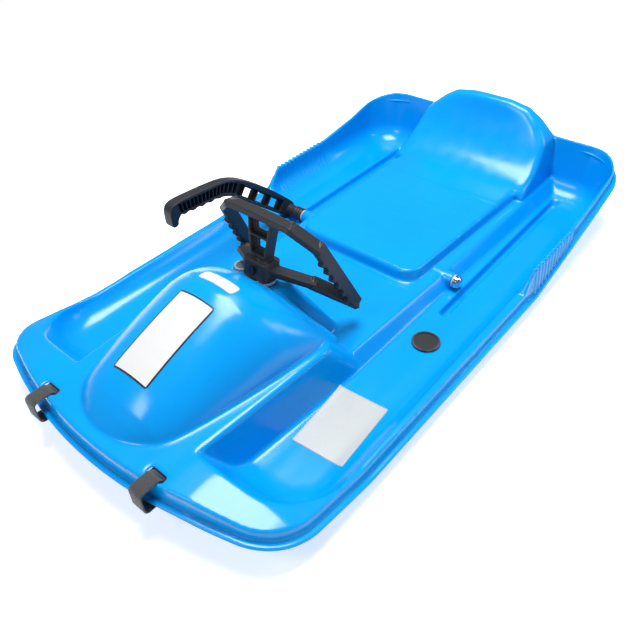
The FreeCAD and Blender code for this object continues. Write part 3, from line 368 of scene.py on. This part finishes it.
def woven():
    """Plain-weave webbing read along the band's own length and width, in metres, its raised threads painted
    lighter as a painted highlight.
    """
    material, tree, shader = shader_of("webbing")
    place = add(tree, "ShaderNodeTexCoord").outputs["UV"]
    waves = []
    for direction, cells in WEAVE_CELLS.items():
        wave = add(tree, "ShaderNodeTexWave",
                   [("Vector", place), ("Scale", cells), ("Distortion", WEAVE_DISTORTION)],
                   bands_direction=direction)
        waves.append(wave.outputs["Fac"])
    weave = add(tree, "ShaderNodeMath", enumerate(waves), operation="MAXIMUM").outputs["Value"]
    # Painted highlight: the raised threads are painted lighter than the webbing's own colour
    lit = tuple(WEAVE_LIT_SHARE * part for part in WEBBING)
    raised = spread(tree, weave, 0, 1, WEAVE_FLOOR, 1)
    tree.links.new(mixed(tree, raised, WEBBING, lit), shader.inputs["Base Color"])
    tree.links.new(spread(tree, noise(tree, FUZZ_CELLS), *FUZZ_ROUGHNESS), shader.inputs["Roughness"])
    shader.inputs["Sheen Weight"].default_value = FUZZ_SHEEN
    bumped(tree, shader, [(weave, WEAVE_DEPTH, WEAVE_STRENGTH)])
    return material


def printed(name, base):
    """Blank coated paper: a pale or dark face with faint fibres."""
    material, tree, shader = shader_of(name)
    fibres = noise(tree, FIBRE_CELLS)
    lit = tuple(FIBRE_FADE * part + FIBRE_LIFT for part in base)
    tree.links.new(mixed(tree, spread(tree, fibres, 0, 1), base, lit), shader.inputs["Base Color"])
    tree.links.new(spread(tree, noise(tree, COAT_CELLS), *COAT_ROUGHNESS), shader.inputs["Roughness"])
    bumped(tree, shader, [(fibres, FIBRE_DEPTH, FIBRE_STRENGTH)])
    return material


EDGE_WEAR, HULL_WEAR = (0.52, 0.58), (0.52, 0.6)
materials = {
    "hull_blue": moulded("hull_blue", BLUE, BLUE_DEEP, BLUE_WORN, roughness=(0.14, 0.26), grain_cells=900,
                         grain_depth=0.05 * MM, wear=HULL_WEAR, gloss=0.36),
    "handle_black": moulded("handle_black", BLACK, BLACK, BLACK_WORN, roughness=(0.4, 0.54), grain_cells=1500,
                            grain_depth=0.12 * MM, wear=EDGE_WEAR, gloss=0.32),
    "plug_black": moulded("plug_black", BLACK, BLACK, BLACK_WORN, roughness=(0.4, 0.55), grain_cells=1500,
                          grain_depth=0.1 * MM, wear=EDGE_WEAR, gloss=0.3),
    "plug_grey": moulded("plug_grey", GREY, GREY, BAND, roughness=(0.4, 0.55), grain_cells=1500,
                         grain_depth=0.1 * MM, wear=EDGE_WEAR, gloss=0.3),
    "bush_plastic": moulded("bush_plastic", BUSH, BUSH, PAPER, roughness=(0.4, 0.6), grain_cells=1200,
                            grain_depth=0.08 * MM, wear=EDGE_WEAR, gloss=0.4),
    "plain_steel": metal("plain_steel", STEEL, STEEL_DARK, roughness=(0.25, 0.45), stretch=(0.05, 1, 1)),
    "spring_steel": metal("spring_steel", STEEL_DARK, STEEL_DARK, roughness=(0.3, 0.5), stretch=(0.1, 1, 1)),
    "dark_steel": metal("dark_steel", DARK_STEEL, DARK_STEEL, roughness=(0.35, 0.5), stretch=(1, 1, 1)),
    "bright_cap": metal("bright_cap", CHROME, STEEL, roughness=(0.06, 0.16), stretch=(1, 1, 1)),
    "webbing": woven(),
}


def finish_of(piece, slot):
    """Gives a piece one material in place of any that it has."""
    piece.data.materials.clear()
    piece.data.materials.append(materials[slot])


DARK_NODES = ("yoke_bolt", "yoke_nut")
for node, piece in frame["nodes"].items():
    finish = "dark_steel" if node in DARK_NODES else material_slots[node]
    for slot in piece.material_slots:
        slot.link = "OBJECT"
        slot.material = materials[finish]


# Hull
def centre_of(node):
    """Middle of a node's box."""
    low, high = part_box(node)
    return (low + high) / 2


def near(points, middle, reach, axes):
    """True for points within reach of a middle, measured along the given axes only."""
    apart = points[:, axes] - np.array(middle)[axes]
    return np.hypot(apart[:, 0], apart[:, 1]) < reach


HULL_VOXEL, HULL_DETAIL_SHARE = 1.6 * MM, 0.18
EVEN_ROUNDS, HULL_ROUNDS, BACK_ROUNDS = 6, 12, 150
# Nodes whose seat in the hull stays crisp: reach round the node's middle and the axes it is measured along
KEPT_SEATS = [("column_bush", 26 * MM, [0, 1]), ("cowl_plug", 17 * MM, [0, 1]),
              ("floor_plug", 24 * MM, [0, 1]), ("axle_bush_left", 15 * MM, [1, 2]),
              ("tow_strap_left", 22 * MM, [0, 1]), ("tow_strap_right", 22 * MM, [0, 1])]
# Hand grips, and the rim that keeps its section
GRIP_START, GRIP_END = FRONT + 590 * MM, FRONT + 728 * MM
GRIP_HALF = 232 * MM
RIM_WIDTH, RIM_BLEND = 16 * MM, 20 * MM
# Backrest: where its wide rounding begins along, across and up the hull, and how softly
BACK_START, BACK_BLEND = FRONT + 770 * MM, 40 * MM
BACK_HALF, BACK_SIDE_BLEND = 178 * MM, 24 * MM
BACK_LOW, BACK_LOW_BLEND = 42 * MM, 10 * MM
BACK_RIM, BACK_RIM_BLEND = 14 * MM, 14 * MM
# Nose skirt: reach from the front, extra depth, half width and fade; heights that it moves between
SKIRT_REACH, SKIRT_DROP, SKIRT_HALF, SKIRT_BLEND = 62 * MM, 7 * MM, 235 * MM, 90 * MM
SKIRT_TOP, SKIRT_FOOT = 70 * MM, 60 * MM
# Grip ribs: place of the first, pitch, extra height, and the share of each wave that is lifted
RIB_FIRST, RIB_PITCH, RIB_EXTRA = FRONT + 599.25 * MM, 10.5 * MM, 1.5 * MM
RIB_WAVE_START, RIB_WAVE_RUN = -0.4, 0.8
# Backrest's top corners: place, reach, and how far they are drawn in and down
CORNER_HALF, CORNER_RISE, CORNER_REACH = 71 * MM, 161 * MM, 25 * MM
CORNER_SHIFT = (2.6 * MM, 5.4 * MM)
# Faint grooves across the seat, on faces between two heights
SEAT_GROOVES = [FRONT + station * MM for station in (622, 684, 746, 806)]
SEAT_GROOVE_WIDTH, SEAT_GROOVE_DEPTH, SEAT_GROOVE_HALF = 2.6 * MM, 0.7 * MM, 118 * MM
SEAT_LOW, SEAT_HIGH = 50 * MM, 60 * MM


def ramp(values, start, run):
    """Rises smoothly from 0 at start to 1 a run later."""
    share = np.clip((values - start) / run, 0, 1)
    return share * share * (3 - 2 * share)


def from_outline(points):
    """Distance of each point inside the sled's outline in plan."""
    plan = [Vector(pair) for pair in points[:, :2]]
    ring = np.array([plan[index] for index in convex_hull_2d(plan)])
    inside = np.full(len(points), np.inf)
    for start, end in zip(ring, np.roll(ring, -1, axis=0)):
        way = end - start
        length = np.hypot(*way)
        if length > 0:
            apart = points[:, :2] - start
            inside = np.minimum(inside, np.abs(apart[:, 0] * way[1] - apart[:, 1] * way[0]) / length)
    return inside


def on_grips(points):
    """True for points of the two hand grips."""
    along = (points[:, 1] > GRIP_START) & (points[:, 1] < GRIP_END)
    return along & (np.abs(points[:, 0]) > GRIP_HALF)


def hull_steps(points):
    """Rounds the broad forms; keeps the rim, grips, bosses and slots and only smooths their grain."""
    loose = ramp(from_outline(points), RIM_WIDTH, RIM_BLEND)
    loose[on_grips(points)] = 0
    for node, reach, axes in KEPT_SEATS:
        loose[near(points, centre_of(node), reach, axes)] = 0
    return np.full(len(points), PLAIN_STEP), BACK_STEP + (PLAIN_STEP - BACK_STEP) * loose


def back_steps(points):
    """Rounds the backrest and its foot on the seat with a far wider sweep."""
    share = ramp(points[:, 1], BACK_START, BACK_BLEND) * ramp(points[:, 2], BACK_LOW, BACK_LOW_BLEND)
    share *= ramp(-np.abs(points[:, 0]), -BACK_HALF, BACK_SIDE_BLEND)
    share *= ramp(from_outline(points), BACK_RIM, BACK_RIM_BLEND)
    return PLAIN_STEP * share, PLAIN_STEP * share


def nose_drop(x, y):
    """How far the skirt hangs lower across the nose."""
    front = ramp(-y, -FRONT - SKIRT_REACH, SKIRT_REACH / 2)
    return SKIRT_DROP * front * ramp(-np.abs(x), -SKIRT_HALF, SKIRT_BLEND)


def hull_reshape(points):
    """Deepens the nose's skirt, lifts the grip ribs, draws in the back's corners and grooves the seat."""
    low = ramp(-points[:, 2], -SKIRT_TOP, SKIRT_TOP - SKIRT_FOOT)
    edge = 1 - ramp(from_outline(points), RIM_WIDTH, RIM_BLEND)
    points[:, 2] -= nose_drop(points[:, 0], points[:, 1]) * low * edge
    wave = np.cos(2 * math.pi * (points[:, 1] - RIB_FIRST) / RIB_PITCH)
    lift = RIB_EXTRA * ramp(wave, RIB_WAVE_START, RIB_WAVE_RUN)
    points[:, 0] += np.sign(points[:, 0]) * lift * on_grips(points)
    apart = np.hypot(np.abs(points[:, 0]) - CORNER_HALF, points[:, 2] - CORNER_RISE) / CORNER_REACH
    pull = np.exp(-apart ** 2) * (points[:, 1] > BACK_START)
    points[:, 0] -= np.sign(points[:, 0]) * CORNER_SHIFT[0] * pull
    points[:, 2] -= CORNER_SHIFT[1] * pull
    seat = (points[:, 2] > SEAT_LOW) & (points[:, 2] < SEAT_HIGH)
    seat &= np.abs(points[:, 0]) < SEAT_GROOVE_HALF
    for groove in SEAT_GROOVES:
        bed = np.exp(-((points[:, 1] - groove) / SEAT_GROOVE_WIDTH) ** 2)
        points[:, 2] -= SEAT_GROOVE_DEPTH * bed * seat
    return points


hull = softened("hull_skin", "hull", HULL_VOXEL,
                [(EVEN_ROUNDS, evenly), (HULL_ROUNDS, hull_steps), (BACK_ROUNDS, back_steps)],
                HULL_DETAIL_SHARE, reshape=hull_reshape)
finish_of(hull, "hull_blue")

# Rolled edge round the lip
BEAD_STEP = 6 * MM
BEAD_PROBE = 3.5 * MM
BEAD_OUT, BEAD_IN = 0.6 * MM, 7.6 * MM
BEAD_LOW, BEAD_HIGH = 0.7 * MM, 4.3 * MM
BEAD_ROUND_STEPS = 4
BEAD_SMOOTHING = 4


def even_loop(corners, step):
    """Points at even steps round a closed plan polygon."""
    ways = np.roll(corners, -1, axis=0) - corners
    travelled = np.concatenate([[0], np.cumsum(np.hypot(ways[:, 0], ways[:, 1]))])
    places = np.linspace(0, travelled[-1], round(travelled[-1] / step), endpoint=False)
    closed = np.vstack([corners, corners[:1]])
    return np.stack([np.interp(places, travelled, closed[:, axis]) for axis in range(2)], 1)


def bead_section():
    """Round-cornered section of (depth inward, height above the lip's foot)."""
    radius = (BEAD_LOW + BEAD_HIGH) / 2
    hubs = [(BEAD_IN - radius, 0), (radius - BEAD_OUT, math.pi)]
    section = []
    for depth, start in hubs:
        for step in range(2 * BEAD_ROUND_STEPS + 1):
            angle = start - math.pi / 2 + math.pi * step / (2 * BEAD_ROUND_STEPS)
            rise = (BEAD_HIGH - BEAD_LOW) / 2 + radius * math.sin(angle)
            section.append((depth + radius * math.cos(angle), rise))
    return section


def lip_bead():
    """Bead swept along the lip's own line, read from the hull."""
    node = frame["nodes"]["hull"]
    tree = BVHTree.FromPolygons([vertex.co for vertex in node.data.vertices],
                                [face.vertices for face in node.data.polygons])
    plan = [Vector((vertex.co.x, vertex.co.y)) for vertex in node.data.vertices]
    loop = even_loop(np.array([plan[index] for index in convex_hull_2d(plan)]), BEAD_STEP)
    ways = np.roll(loop, -1, axis=0) - np.roll(loop, 1, axis=0)
    ways /= np.hypot(ways[:, 0], ways[:, 1])[:, None]
    inward = np.stack([-ways[:, 1], ways[:, 0]], 1)
    inward *= np.sign(np.sum(inward * -loop, 1))[:, None]
    feet = []
    for spot in loop + inward * BEAD_PROBE:
        feet.append(tree.ray_cast(Vector((*spot, -RAY_START)), Vector((0, 0, 1)))[0].z)
    feet = np.array(feet)
    for _ in range(BEAD_SMOOTHING):
        feet = (np.roll(feet, 1) + 2 * feet + np.roll(feet, -1)) / 4
    feet -= nose_drop(loop[:, 0], loop[:, 1])
    section = bead_section()
    points = [(*(spot + side * depth), foot + rise) for spot, side, foot in zip(loop, inward, feet)
              for depth, rise in section]
    piece = outward(mesh_piece("lip_bead", points, ring_faces(len(loop), len(section))))
    finish_of(piece, "hull_blue")
    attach(piece, "hull_body")


lip_bead()


# Lever and yoke as ribbed channels, and the skid
YOKE_VOXEL, YOKE_ROUNDS = 0.8 * MM, 7
LEVER_VOXEL, LEVER_ROUNDS = 0.6 * MM, 4
SKID_VOXEL, SKID_ROUNDS = 1.2 * MM, 6
MOULDING_DETAIL_SHARE = 0.3
LEVER_WIDTH = 17 * MM
WEB_HALF = 1.5 * MM
# Lever's outline in millimetres as (run ahead of the axle, rise above it): over the arm and grip, round the
# hook and, after the palm's scallops, home under the arm
LEVER_TOP = [(-9, 11), (20, 39), (46, 62), (74, 84), (99, 101), (119, 111.5), (141, 118.5), (172, 122.5),
             (205, 125), (230, 126)]
LEVER_HOOK = [(242, 123.5), (247.5, 116), (248.5, 104), (248, 93), (245.5, 90.5), (240, 90.5), (237.5, 93),
              (236, 98.5)]
LEVER_UNDER = [(148, 95.5), (134, 90), (122, 82), (94, 58.5), (66.8, 36.7), (39.6, 14.7), (17.8, -3),
               (9, -10.5), (-3, -10), (-10, -3)]
OUTLINE_STEPS = 6
PALM_START, PALM_END, PALM_LOW, PALM_RISE = 230 * MM, 155 * MM, 96 * MM, 7 * MM
PALM_PITCH, PALM_DEPTH, PALM_STEPS = 17 * MM, 2.2 * MM, 20
ARM_ANGLE = math.radians(39)
ARM_HALF = 13.5 * MM
ARM_RIBS = [26 * MM, 64 * MM, 101 * MM, 136 * MM]
# Ribs in millimetres as pairs of an upper and a lower end: round the elbow, then the grip's first and last
ELBOW_RIBS = [((112, 106.5), (124, 85)), ((122, 112), (132, 89.5)), ((132, 116), (140, 93))]
GRIP_RIBS = [((141, 119), (148, 96)), ((235, 126), (230, 103))]
GRIP_BAYS = 12
LEVER_RIB = 1.8 * MM
TOP_FLANGE, LOW_FLANGE = 3.2 * MM, 4.5 * MM
WINDOW_INSET, WINDOW_TRIM = 6.4 * MM, 12 * MM
HUB_RINGS, HUB_RING_RADIUS, HUB_RING_WIDTH, HUB_RING_PITCH = 3, 11.6 * MM, 2 * MM, 5.5 * MM
HUB_RADIUS = 10.5 * MM
ROUND_STEPS = 48
COLUMN_STATION, COLUMN_RISE, COLUMN_TILT = 294 * MM, 120 * MM, math.radians(10)
YOKE_HALF = 9 * MM
YOKE_BAYS = [(39 * MM, 62.5 * MM), (65.5 * MM, 87 * MM)]
YOKE_BAY_HALVES = [(10 * MM, 13 * MM), (13.5 * MM, 16.5 * MM)]
YOKE_NOTCH = [(13 * MM, 33 * MM), (24 * MM, 33 * MM), (24 * MM, 86 * MM), (19.5 * MM, 86 * MM)]


def prism(quad, start, end, place):
    """Six-sided block: a quad swept between two depths, each corner put in place by a function."""
    points = [place(across, *corner) for across in (start, end) for corner in quad]
    return points, BOX_FACES


def joined(name, blocks):
    """One object from several loose blocks of points and faces, all facing outward."""
    points, faces = [], []
    for block_points, block_faces in blocks:
        faces += [[index + len(points) for index in face] for face in block_faces]
        points += block_points
    return outward(mesh_piece(name, points, faces))


def smooth_loop(points, steps):
    """Closed curve through all the points."""
    curve = []
    for index in range(len(points)):
        before, start, end, after = (np.array(points[(index + shift) % len(points)])
                                     for shift in (-1, 0, 1, 2))
        square = 2 * before - 5 * start + 4 * end - after
        cube = 3 * start - before - 3 * end + after
        for step in range(steps):
            t = step / steps
            curve.append(0.5 * (2 * start + (end - before) * t + square * t ** 2 + cube * t ** 3))
    return curve


def in_metres(pairs):
    return [(run * MM, rise * MM) for run, rise in pairs]


def lever_outline():
    """Smooth outline of arm and grip, with finger scallops under the grip."""
    palm = []
    for step in range(PALM_STEPS + 1):
        run = PALM_START + (PALM_END - PALM_START) * step / PALM_STEPS
        rise = PALM_LOW + PALM_RISE * (run - PALM_END) / (PALM_START - PALM_END)
        scallop = PALM_DEPTH * (1 - math.cos(2 * math.pi * (run - PALM_END) / PALM_PITCH)) / 2
        palm.append((run, rise + scallop))
    return smooth_loop(in_metres(LEVER_TOP + LEVER_HOOK) + palm + in_metres(LEVER_UNDER), OUTLINE_STEPS)


def lever_ribs():
    """Upper and lower ends of all the lever's ribs, from the hub to the hook."""
    ahead = Vector((math.cos(ARM_ANGLE), math.sin(ARM_ANGLE)))
    up = Vector((-ahead.y, ahead.x)) * ARM_HALF
    ribs = [(ahead * run + up, ahead * run - up) for run in ARM_RIBS]
    ribs += [tuple(Vector(end) * MM for end in rib) for rib in ELBOW_RIBS]
    first, last = ([Vector(end) * MM for end in rib] for rib in GRIP_RIBS)
    ribs += [tuple(one.lerp(other, index / GRIP_BAYS) for one, other in zip(first, last))
             for index in range(GRIP_BAYS + 1)]
    return ribs


def bay(first, second, top, foot, trim):
    """Quad between two ribs, held back from their upper and lower ends and from the ribs themselves."""
    ends = []
    for upper, lower in (first, second):
        way = (lower - upper).normalized()
        ends.append((upper + way * top, lower - way * foot))
    (upper, lower), (far_upper, far_lower) = ends
    over, under = (far_upper - upper).normalized() * trim / 2, (far_lower - lower).normalized() * trim / 2
    return [lower + under, far_lower - under, far_upper - over, upper + over]


def lever_cutters():
    """Pockets on both sides of the lever and windows through its web."""
    axle = centre_of("brake_axle")
    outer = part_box("brake_lever")[0].x
    middle = outer + LEVER_WIDTH / 2

    def place(across, run, rise):
        return across, axle.y - run, axle.z + rise

    pockets, holes = [], []
    ribs = lever_ribs()
    for index, pair in enumerate(zip(ribs, ribs[1:])):
        quad = bay(*pair, TOP_FLANGE, LOW_FLANGE, LEVER_RIB)
        pockets.append(prism(quad, outer - LEVER_WIDTH / 4, middle - WEB_HALF, place))
        pockets.append(prism(quad, middle + WEB_HALF, outer + LEVER_WIDTH * 5 / 4, place))
        if index < len(ARM_RIBS) - 1:
            hole = bay(*pair, WINDOW_INSET, WINDOW_INSET, WINDOW_TRIM)
            holes.append(prism(hole, middle - 2 * WEB_HALF, middle + 2 * WEB_HALF, place))
    return [joined("lever_pockets", pockets), joined("lever_holes", holes)]


def disc(radius, start, end):
    """Points and faces of a round solid on the brake's axle between two places across the sled."""
    axle = centre_of("brake_axle")
    turns = [2 * math.pi * step / ROUND_STEPS for step in range(ROUND_STEPS)]
    points = [(x, axle.y + radius * math.cos(turn), axle.z + radius * math.sin(turn))
              for x in (start, end) for turn in turns]
    return points, extrusion_faces(ROUND_STEPS)


def lever_plate():
    """Solid of the lever's arm and grip before its pockets are cut."""
    axle = centre_of("brake_axle")
    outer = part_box("brake_lever")[0].x
    outline = lever_outline()
    points = [(x, axle.y - run, axle.z + rise) for x in (outer, outer + LEVER_WIDTH) for run, rise in outline]
    return joined("lever_plate", [(points, extrusion_faces(len(outline)))])


def lever_hub():
    """Barrel on the axle with raised rings."""
    low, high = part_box("brake_lever")
    discs = [disc(HUB_RADIUS, low.x, high.x)]
    for index in range(HUB_RINGS):
        start = high.x - HUB_RING_PITCH * (index + 1)
        discs.append(disc(HUB_RING_RADIUS, start, start + HUB_RING_WIDTH))
    return joined("lever_hub", discs)


def yoke_cutters():
    """Bays on the front and the back of the yoke's middle web, and its flanks drawn in towards the foot."""
    foot = Matrix.Translation((0, FRONT + COLUMN_STATION, COLUMN_RISE))
    lean = foot @ Matrix.Rotation(-COLUMN_TILT, 4, "X")

    def place(across, x, rise):
        return tuple(lean @ Vector((x, across, rise)))

    blocks = []
    for (low, high), (lower, upper) in zip(YOKE_BAYS, YOKE_BAY_HALVES):
        quad = [(-lower, low), (lower, low), (upper, high), (-upper, high)]
        blocks.append(prism(quad, -2 * YOKE_HALF, -WEB_HALF, place))
        blocks.append(prism(quad, WEB_HALF, 2 * YOKE_HALF, place))
    for side in (1, -1):
        quad = [(side * x, rise) for x, rise in YOKE_NOTCH]
        blocks.append(prism(quad, -2 * YOKE_HALF, 2 * YOKE_HALF, place))
    return [joined("yoke_bays", blocks)]


def moulding(name, node, voxel, rounds, **parts):
    """A moulding in place of its node, rounded evenly, with the node's finish."""
    piece = softened(name, node, voxel, [(rounds, evenly)], MOULDING_DETAIL_SHARE, **parts)
    finish_of(piece, material_slots[node])


moulding("yoke_moulding", "steering_yoke", YOKE_VOXEL, YOKE_ROUNDS, cutters=yoke_cutters())
moulding("lever_moulding", "brake_lever", LEVER_VOXEL, LEVER_ROUNDS, cutters=lever_cutters(),
         solid=lever_plate(), extra=lever_hub())
moulding("skid_moulding", "steering_skid", SKID_VOXEL, SKID_ROUNDS)

# Blank stickers pressed onto the hull
PANEL = {"front": 80 * MM, "rear": 191 * MM, "middle": 0, "half": 29 * MM, "corner": 3 * MM}
TAG = {"front": 217 * MM, "rear": 234 * MM, "middle": 0, "half": 29 * MM, "corner": 5 * MM}
CARD = {"front": 184 * MM, "rear": 288 * MM, "middle": 177 * MM, "half": 36 * MM, "corner": 1 * MM}
CARD_TURN = math.radians(4)
STICKER_LIFT = 0.5 * MM
STICKER_STEP = 4 * MM
STICKER_EDGE = 2 * MM


def shelf(half, step, edge):
    """Places from -half to half: an edge strip at each end and even steps between."""
    count = max(2, round(2 * (half - edge) / step))
    inner = [edge - half + 2 * (half - edge) * index / count for index in range(count + 1)]
    return [-half] + inner + [half]


def pressed(name, plan, tree, turn=0.0):
    """Sticker of a grid with round corners, each point dropped onto the hull."""
    half, length, corner = plan["half"], (plan["rear"] - plan["front"]) / 2, plan["corner"]
    middle = Vector((plan["middle"], FRONT + plan["front"] + length))
    columns, rows = shelf(half, STICKER_STEP, STICKER_EDGE), shelf(length, STICKER_STEP, STICKER_EDGE)
    points, faces, rim = [], [], []
    for x in columns:
        over = max(0, abs(x) - half + corner)
        shrunk = (length - corner + math.sqrt(corner * corner - over * over)) / length
        for y in rows:
            spot = Vector((x, y * shrunk))
            spot.rotate(Matrix.Rotation(turn, 2))
            spot += middle
            hit, normal, _, _ = tree.ray_cast(Vector((*spot, RAY_START)), Vector((0, 0, -1)))
            points.append(hit + normal * STICKER_LIFT)
    for column in range(len(columns) - 1):
        for row in range(len(rows) - 1):
            first = column * len(rows) + row
            faces.append((first, first + len(rows), first + len(rows) + 1, first + 1))
            rim.append(column in (0, len(columns) - 2) or row in (0, len(rows) - 2))
    piece = mesh_piece(name, points, faces)
    thick = piece.modifiers.new("thick", "SOLIDIFY")
    thick.thickness = STICKER_LIFT
    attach(piece, "hull_body")
    return piece, rim


def stickers():
    """Front panel with a dark edge, cowl tag and floor card, all blank."""
    tree = BVHTree.FromObject(hull, bpy.context.evaluated_depsgraph_get())
    paper, card, ink = printed("paper", PAPER), printed("card", CARD_PAPER), printed("ink", INK)
    for name, plan, turn, face_paper, edged in (("front_panel", PANEL, 0, paper, True),
                                                ("cowl_tag", TAG, 0, paper, False),
                                                ("floor_card", CARD, CARD_TURN, card, False)):
        piece, rim = pressed(name, plan, tree, turn)
        piece.data.materials.append(face_paper)
        piece.data.materials.append(ink)
        for face, outer in zip(piece.data.polygons, rim):
            face.material_index = int(edged and outer)


# Tow straps of webbing
STRAP_EDGE_STEPS = 4
STRAP_BEND, STRAP_BEND_STEPS = 7 * MM, 8
STRAP_THICK = 1.8 * MM
STRAP_TAIL, STRAP_TAIL_DROP, STRAP_TAIL_SPARE = 11 * MM, 6.4 * MM, 2.5 * MM


def band_path(node):
    """Rounded loop round the lip in the YZ plane, as the node's box gives it."""
    low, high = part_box(node)
    low.z -= SKIRT_DROP
    corners = [(high.y, low.z), (high.y, high.z), (low.y, high.z), (low.y, low.z)]
    middle = Vector(((low.y + high.y) / 2, (low.z + high.z) / 2))
    path = []
    for index, corner in enumerate(corners):
        inward = Vector((math.copysign(1, middle.x - corner[0]), math.copysign(1, middle.y - corner[1])))
        hub = Vector(corner) + inward * STRAP_BEND
        start = -math.pi / 2 + index * math.pi / 2
        for step in range(STRAP_BEND_STEPS + 1):
            angle = start + step / STRAP_BEND_STEPS * math.pi / 2
            path.append(hub + Vector((math.cos(angle), math.sin(angle))) * STRAP_BEND)
    return path


def strap(side):
    """Webbing loop round the lip with its tail flat under the deck, behind the slot."""
    node = f"tow_strap_{side}"
    low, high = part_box(node)
    path = band_path(node)
    half, thick = (high.x - low.x) / 2, STRAP_THICK
    section = []
    for edge in (1, -1):
        for step in range(STRAP_EDGE_STEPS + 1):
            angle = -math.pi / 2 + math.pi * step / STRAP_EDGE_STEPS
            reach = half - thick / 2 + thick / 2 * math.cos(angle)
            section.append((edge * reach, edge * thick / 2 * math.sin(angle)))
    points, plan = [], []
    travelled = 0
    for index, spot in enumerate(path):
        way = (path[(index + 1) % len(path)] - path[index - 1]).normalized()
        inward = Vector((-way.y, way.x))
        travelled += (spot - path[index - 1]).length
        for x, depth in section:
            place = spot + inward * (thick / 2 + depth)
            points.append(((low.x + high.x) / 2 + x, place.x, place.y))
            plan.append((x, travelled))
    faces = ring_faces(len(path), len(section))
    tail_top = high.z - STRAP_TAIL_DROP
    left, right = low.x - STRAP_TAIL_SPARE, high.x + STRAP_TAIL_SPARE
    front, rear = high.y - thick, high.y + STRAP_TAIL
    corners = [(left, front), (right, front), (right, rear), (left, rear)]
    first = len(points)
    for z in (tail_top - thick, tail_top):
        points += [(x, y, z) for x, y in corners]
        plan += [(x - low.x, y - high.y) for x, y in corners]
    faces += [tuple(first + index for index in face) for face in BOX_FACES]
    piece = mesh_piece(f"webbing_{side}", points, faces)
    layer = piece.data.uv_layers.new(name="band")
    for loop in piece.data.loops:
        layer.data[loop.index].uv = plan[loop.vertex_index]
    finish_of(piece, "webbing")
    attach(piece, "hull_body")
    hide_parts(node)


strap("left")
strap("right")
stickers()


# Floor, light and camera
FLOOR_REACH = 8
# Softboxes: place, target, width, height, and power in watts
SOFTBOXES = {
    "key": ((-0.08, 0.15, 1.8), (0, 0.1, 0), 0.8, 1.0, 47),
    "front": ((-0.25, -1.5, 1.5), (0, -0.2, 0), 0.5, 0.5, 8),
    "side": ((1.3, 1.1, 0.95), (0.2, 0, 0), 0.3, 1.0, 5),
}


def stage_floor():
    """Pale floor with a faint glow that keeps it near white."""
    corners = [(x * FLOOR_REACH, y * FLOOR_REACH, 0) for x, y in ((-1, -1), (1, -1), (1, 1), (-1, 1))]
    floor = mesh_piece("floor", corners, [(0, 1, 2, 3)])
    material, tree, shader = shader_of("floor")
    faded = tuple(FLOOR_FADE * part for part in FLOOR)
    tree.links.new(mixed(tree, noise(tree, FLOOR_CELLS), FLOOR, faded), shader.inputs["Base Color"])
    shader.inputs["Roughness"].default_value = FLOOR_ROUGHNESS
    shader.inputs["Emission Color"].default_value = (1, 1, 1, 1)
    shader.inputs["Emission Strength"].default_value = FLOOR_GLOW
    floor.data.materials.append(material)


def softbox(name, place, target, width, height, power):
    """Rectangular soft light aimed at a target."""
    light = bpy.data.lights.new(name, "AREA")
    light.shape = "RECTANGLE"
    light.size = width
    light.size_y = height
    light.energy = power
    lamp = link(bpy.data.objects.new(name, light))
    lamp.location = place
    lamp.rotation_euler = (Vector(target) - Vector(place)).to_track_quat("-Z", "Y").to_euler()


def studio():
    """Pale surroundings and the softboxes."""
    world = bpy.data.worlds.new("studio")
    world.use_nodes = True
    tree = world.node_tree
    backdrop = tree.nodes["Background"]
    backdrop.inputs["Color"].default_value = (1, 1, 1, 1)
    seen = add(tree, "ShaderNodeLightPath").outputs["Is Camera Ray"]
    tree.links.new(spread(tree, seen, WORLD_LIGHT, WORLD_SEEN, 0, 1), backdrop.inputs["Strength"])
    bpy.context.scene.world = world
    for name, values in SOFTBOXES.items():
        softbox(name, *values)
    bpy.context.scene.view_settings.view_transform = "Standard"


def camera():
    """Camera placed by its azimuth, elevation and roll."""
    lens = bpy.data.cameras.new("camera")
    lens.sensor_width = SENSOR_MM
    lens.lens = FOCAL_PIXELS / PHOTO_PIXELS * SENSOR_MM
    eye = link(bpy.data.objects.new("camera", lens))
    level = math.cos(CAMERA_ELEVATION)
    ahead = Vector((-math.sin(CAMERA_AZIMUTH) * level, math.cos(CAMERA_AZIMUTH) * level,
                    -math.sin(CAMERA_ELEVATION)))
    right = ahead.cross(Vector((0, 0, 1))).normalized()
    right.rotate(Matrix.Rotation(-CAMERA_ROLL, 3, ahead))
    up = right.cross(ahead)
    turn = Matrix((right, up, -ahead)).transposed()
    eye.matrix_world = Matrix.Translation(CAMERA_PLACE) @ turn.to_4x4()
    bpy.context.scene.camera = eye


stage_floor()
studio()
camera()
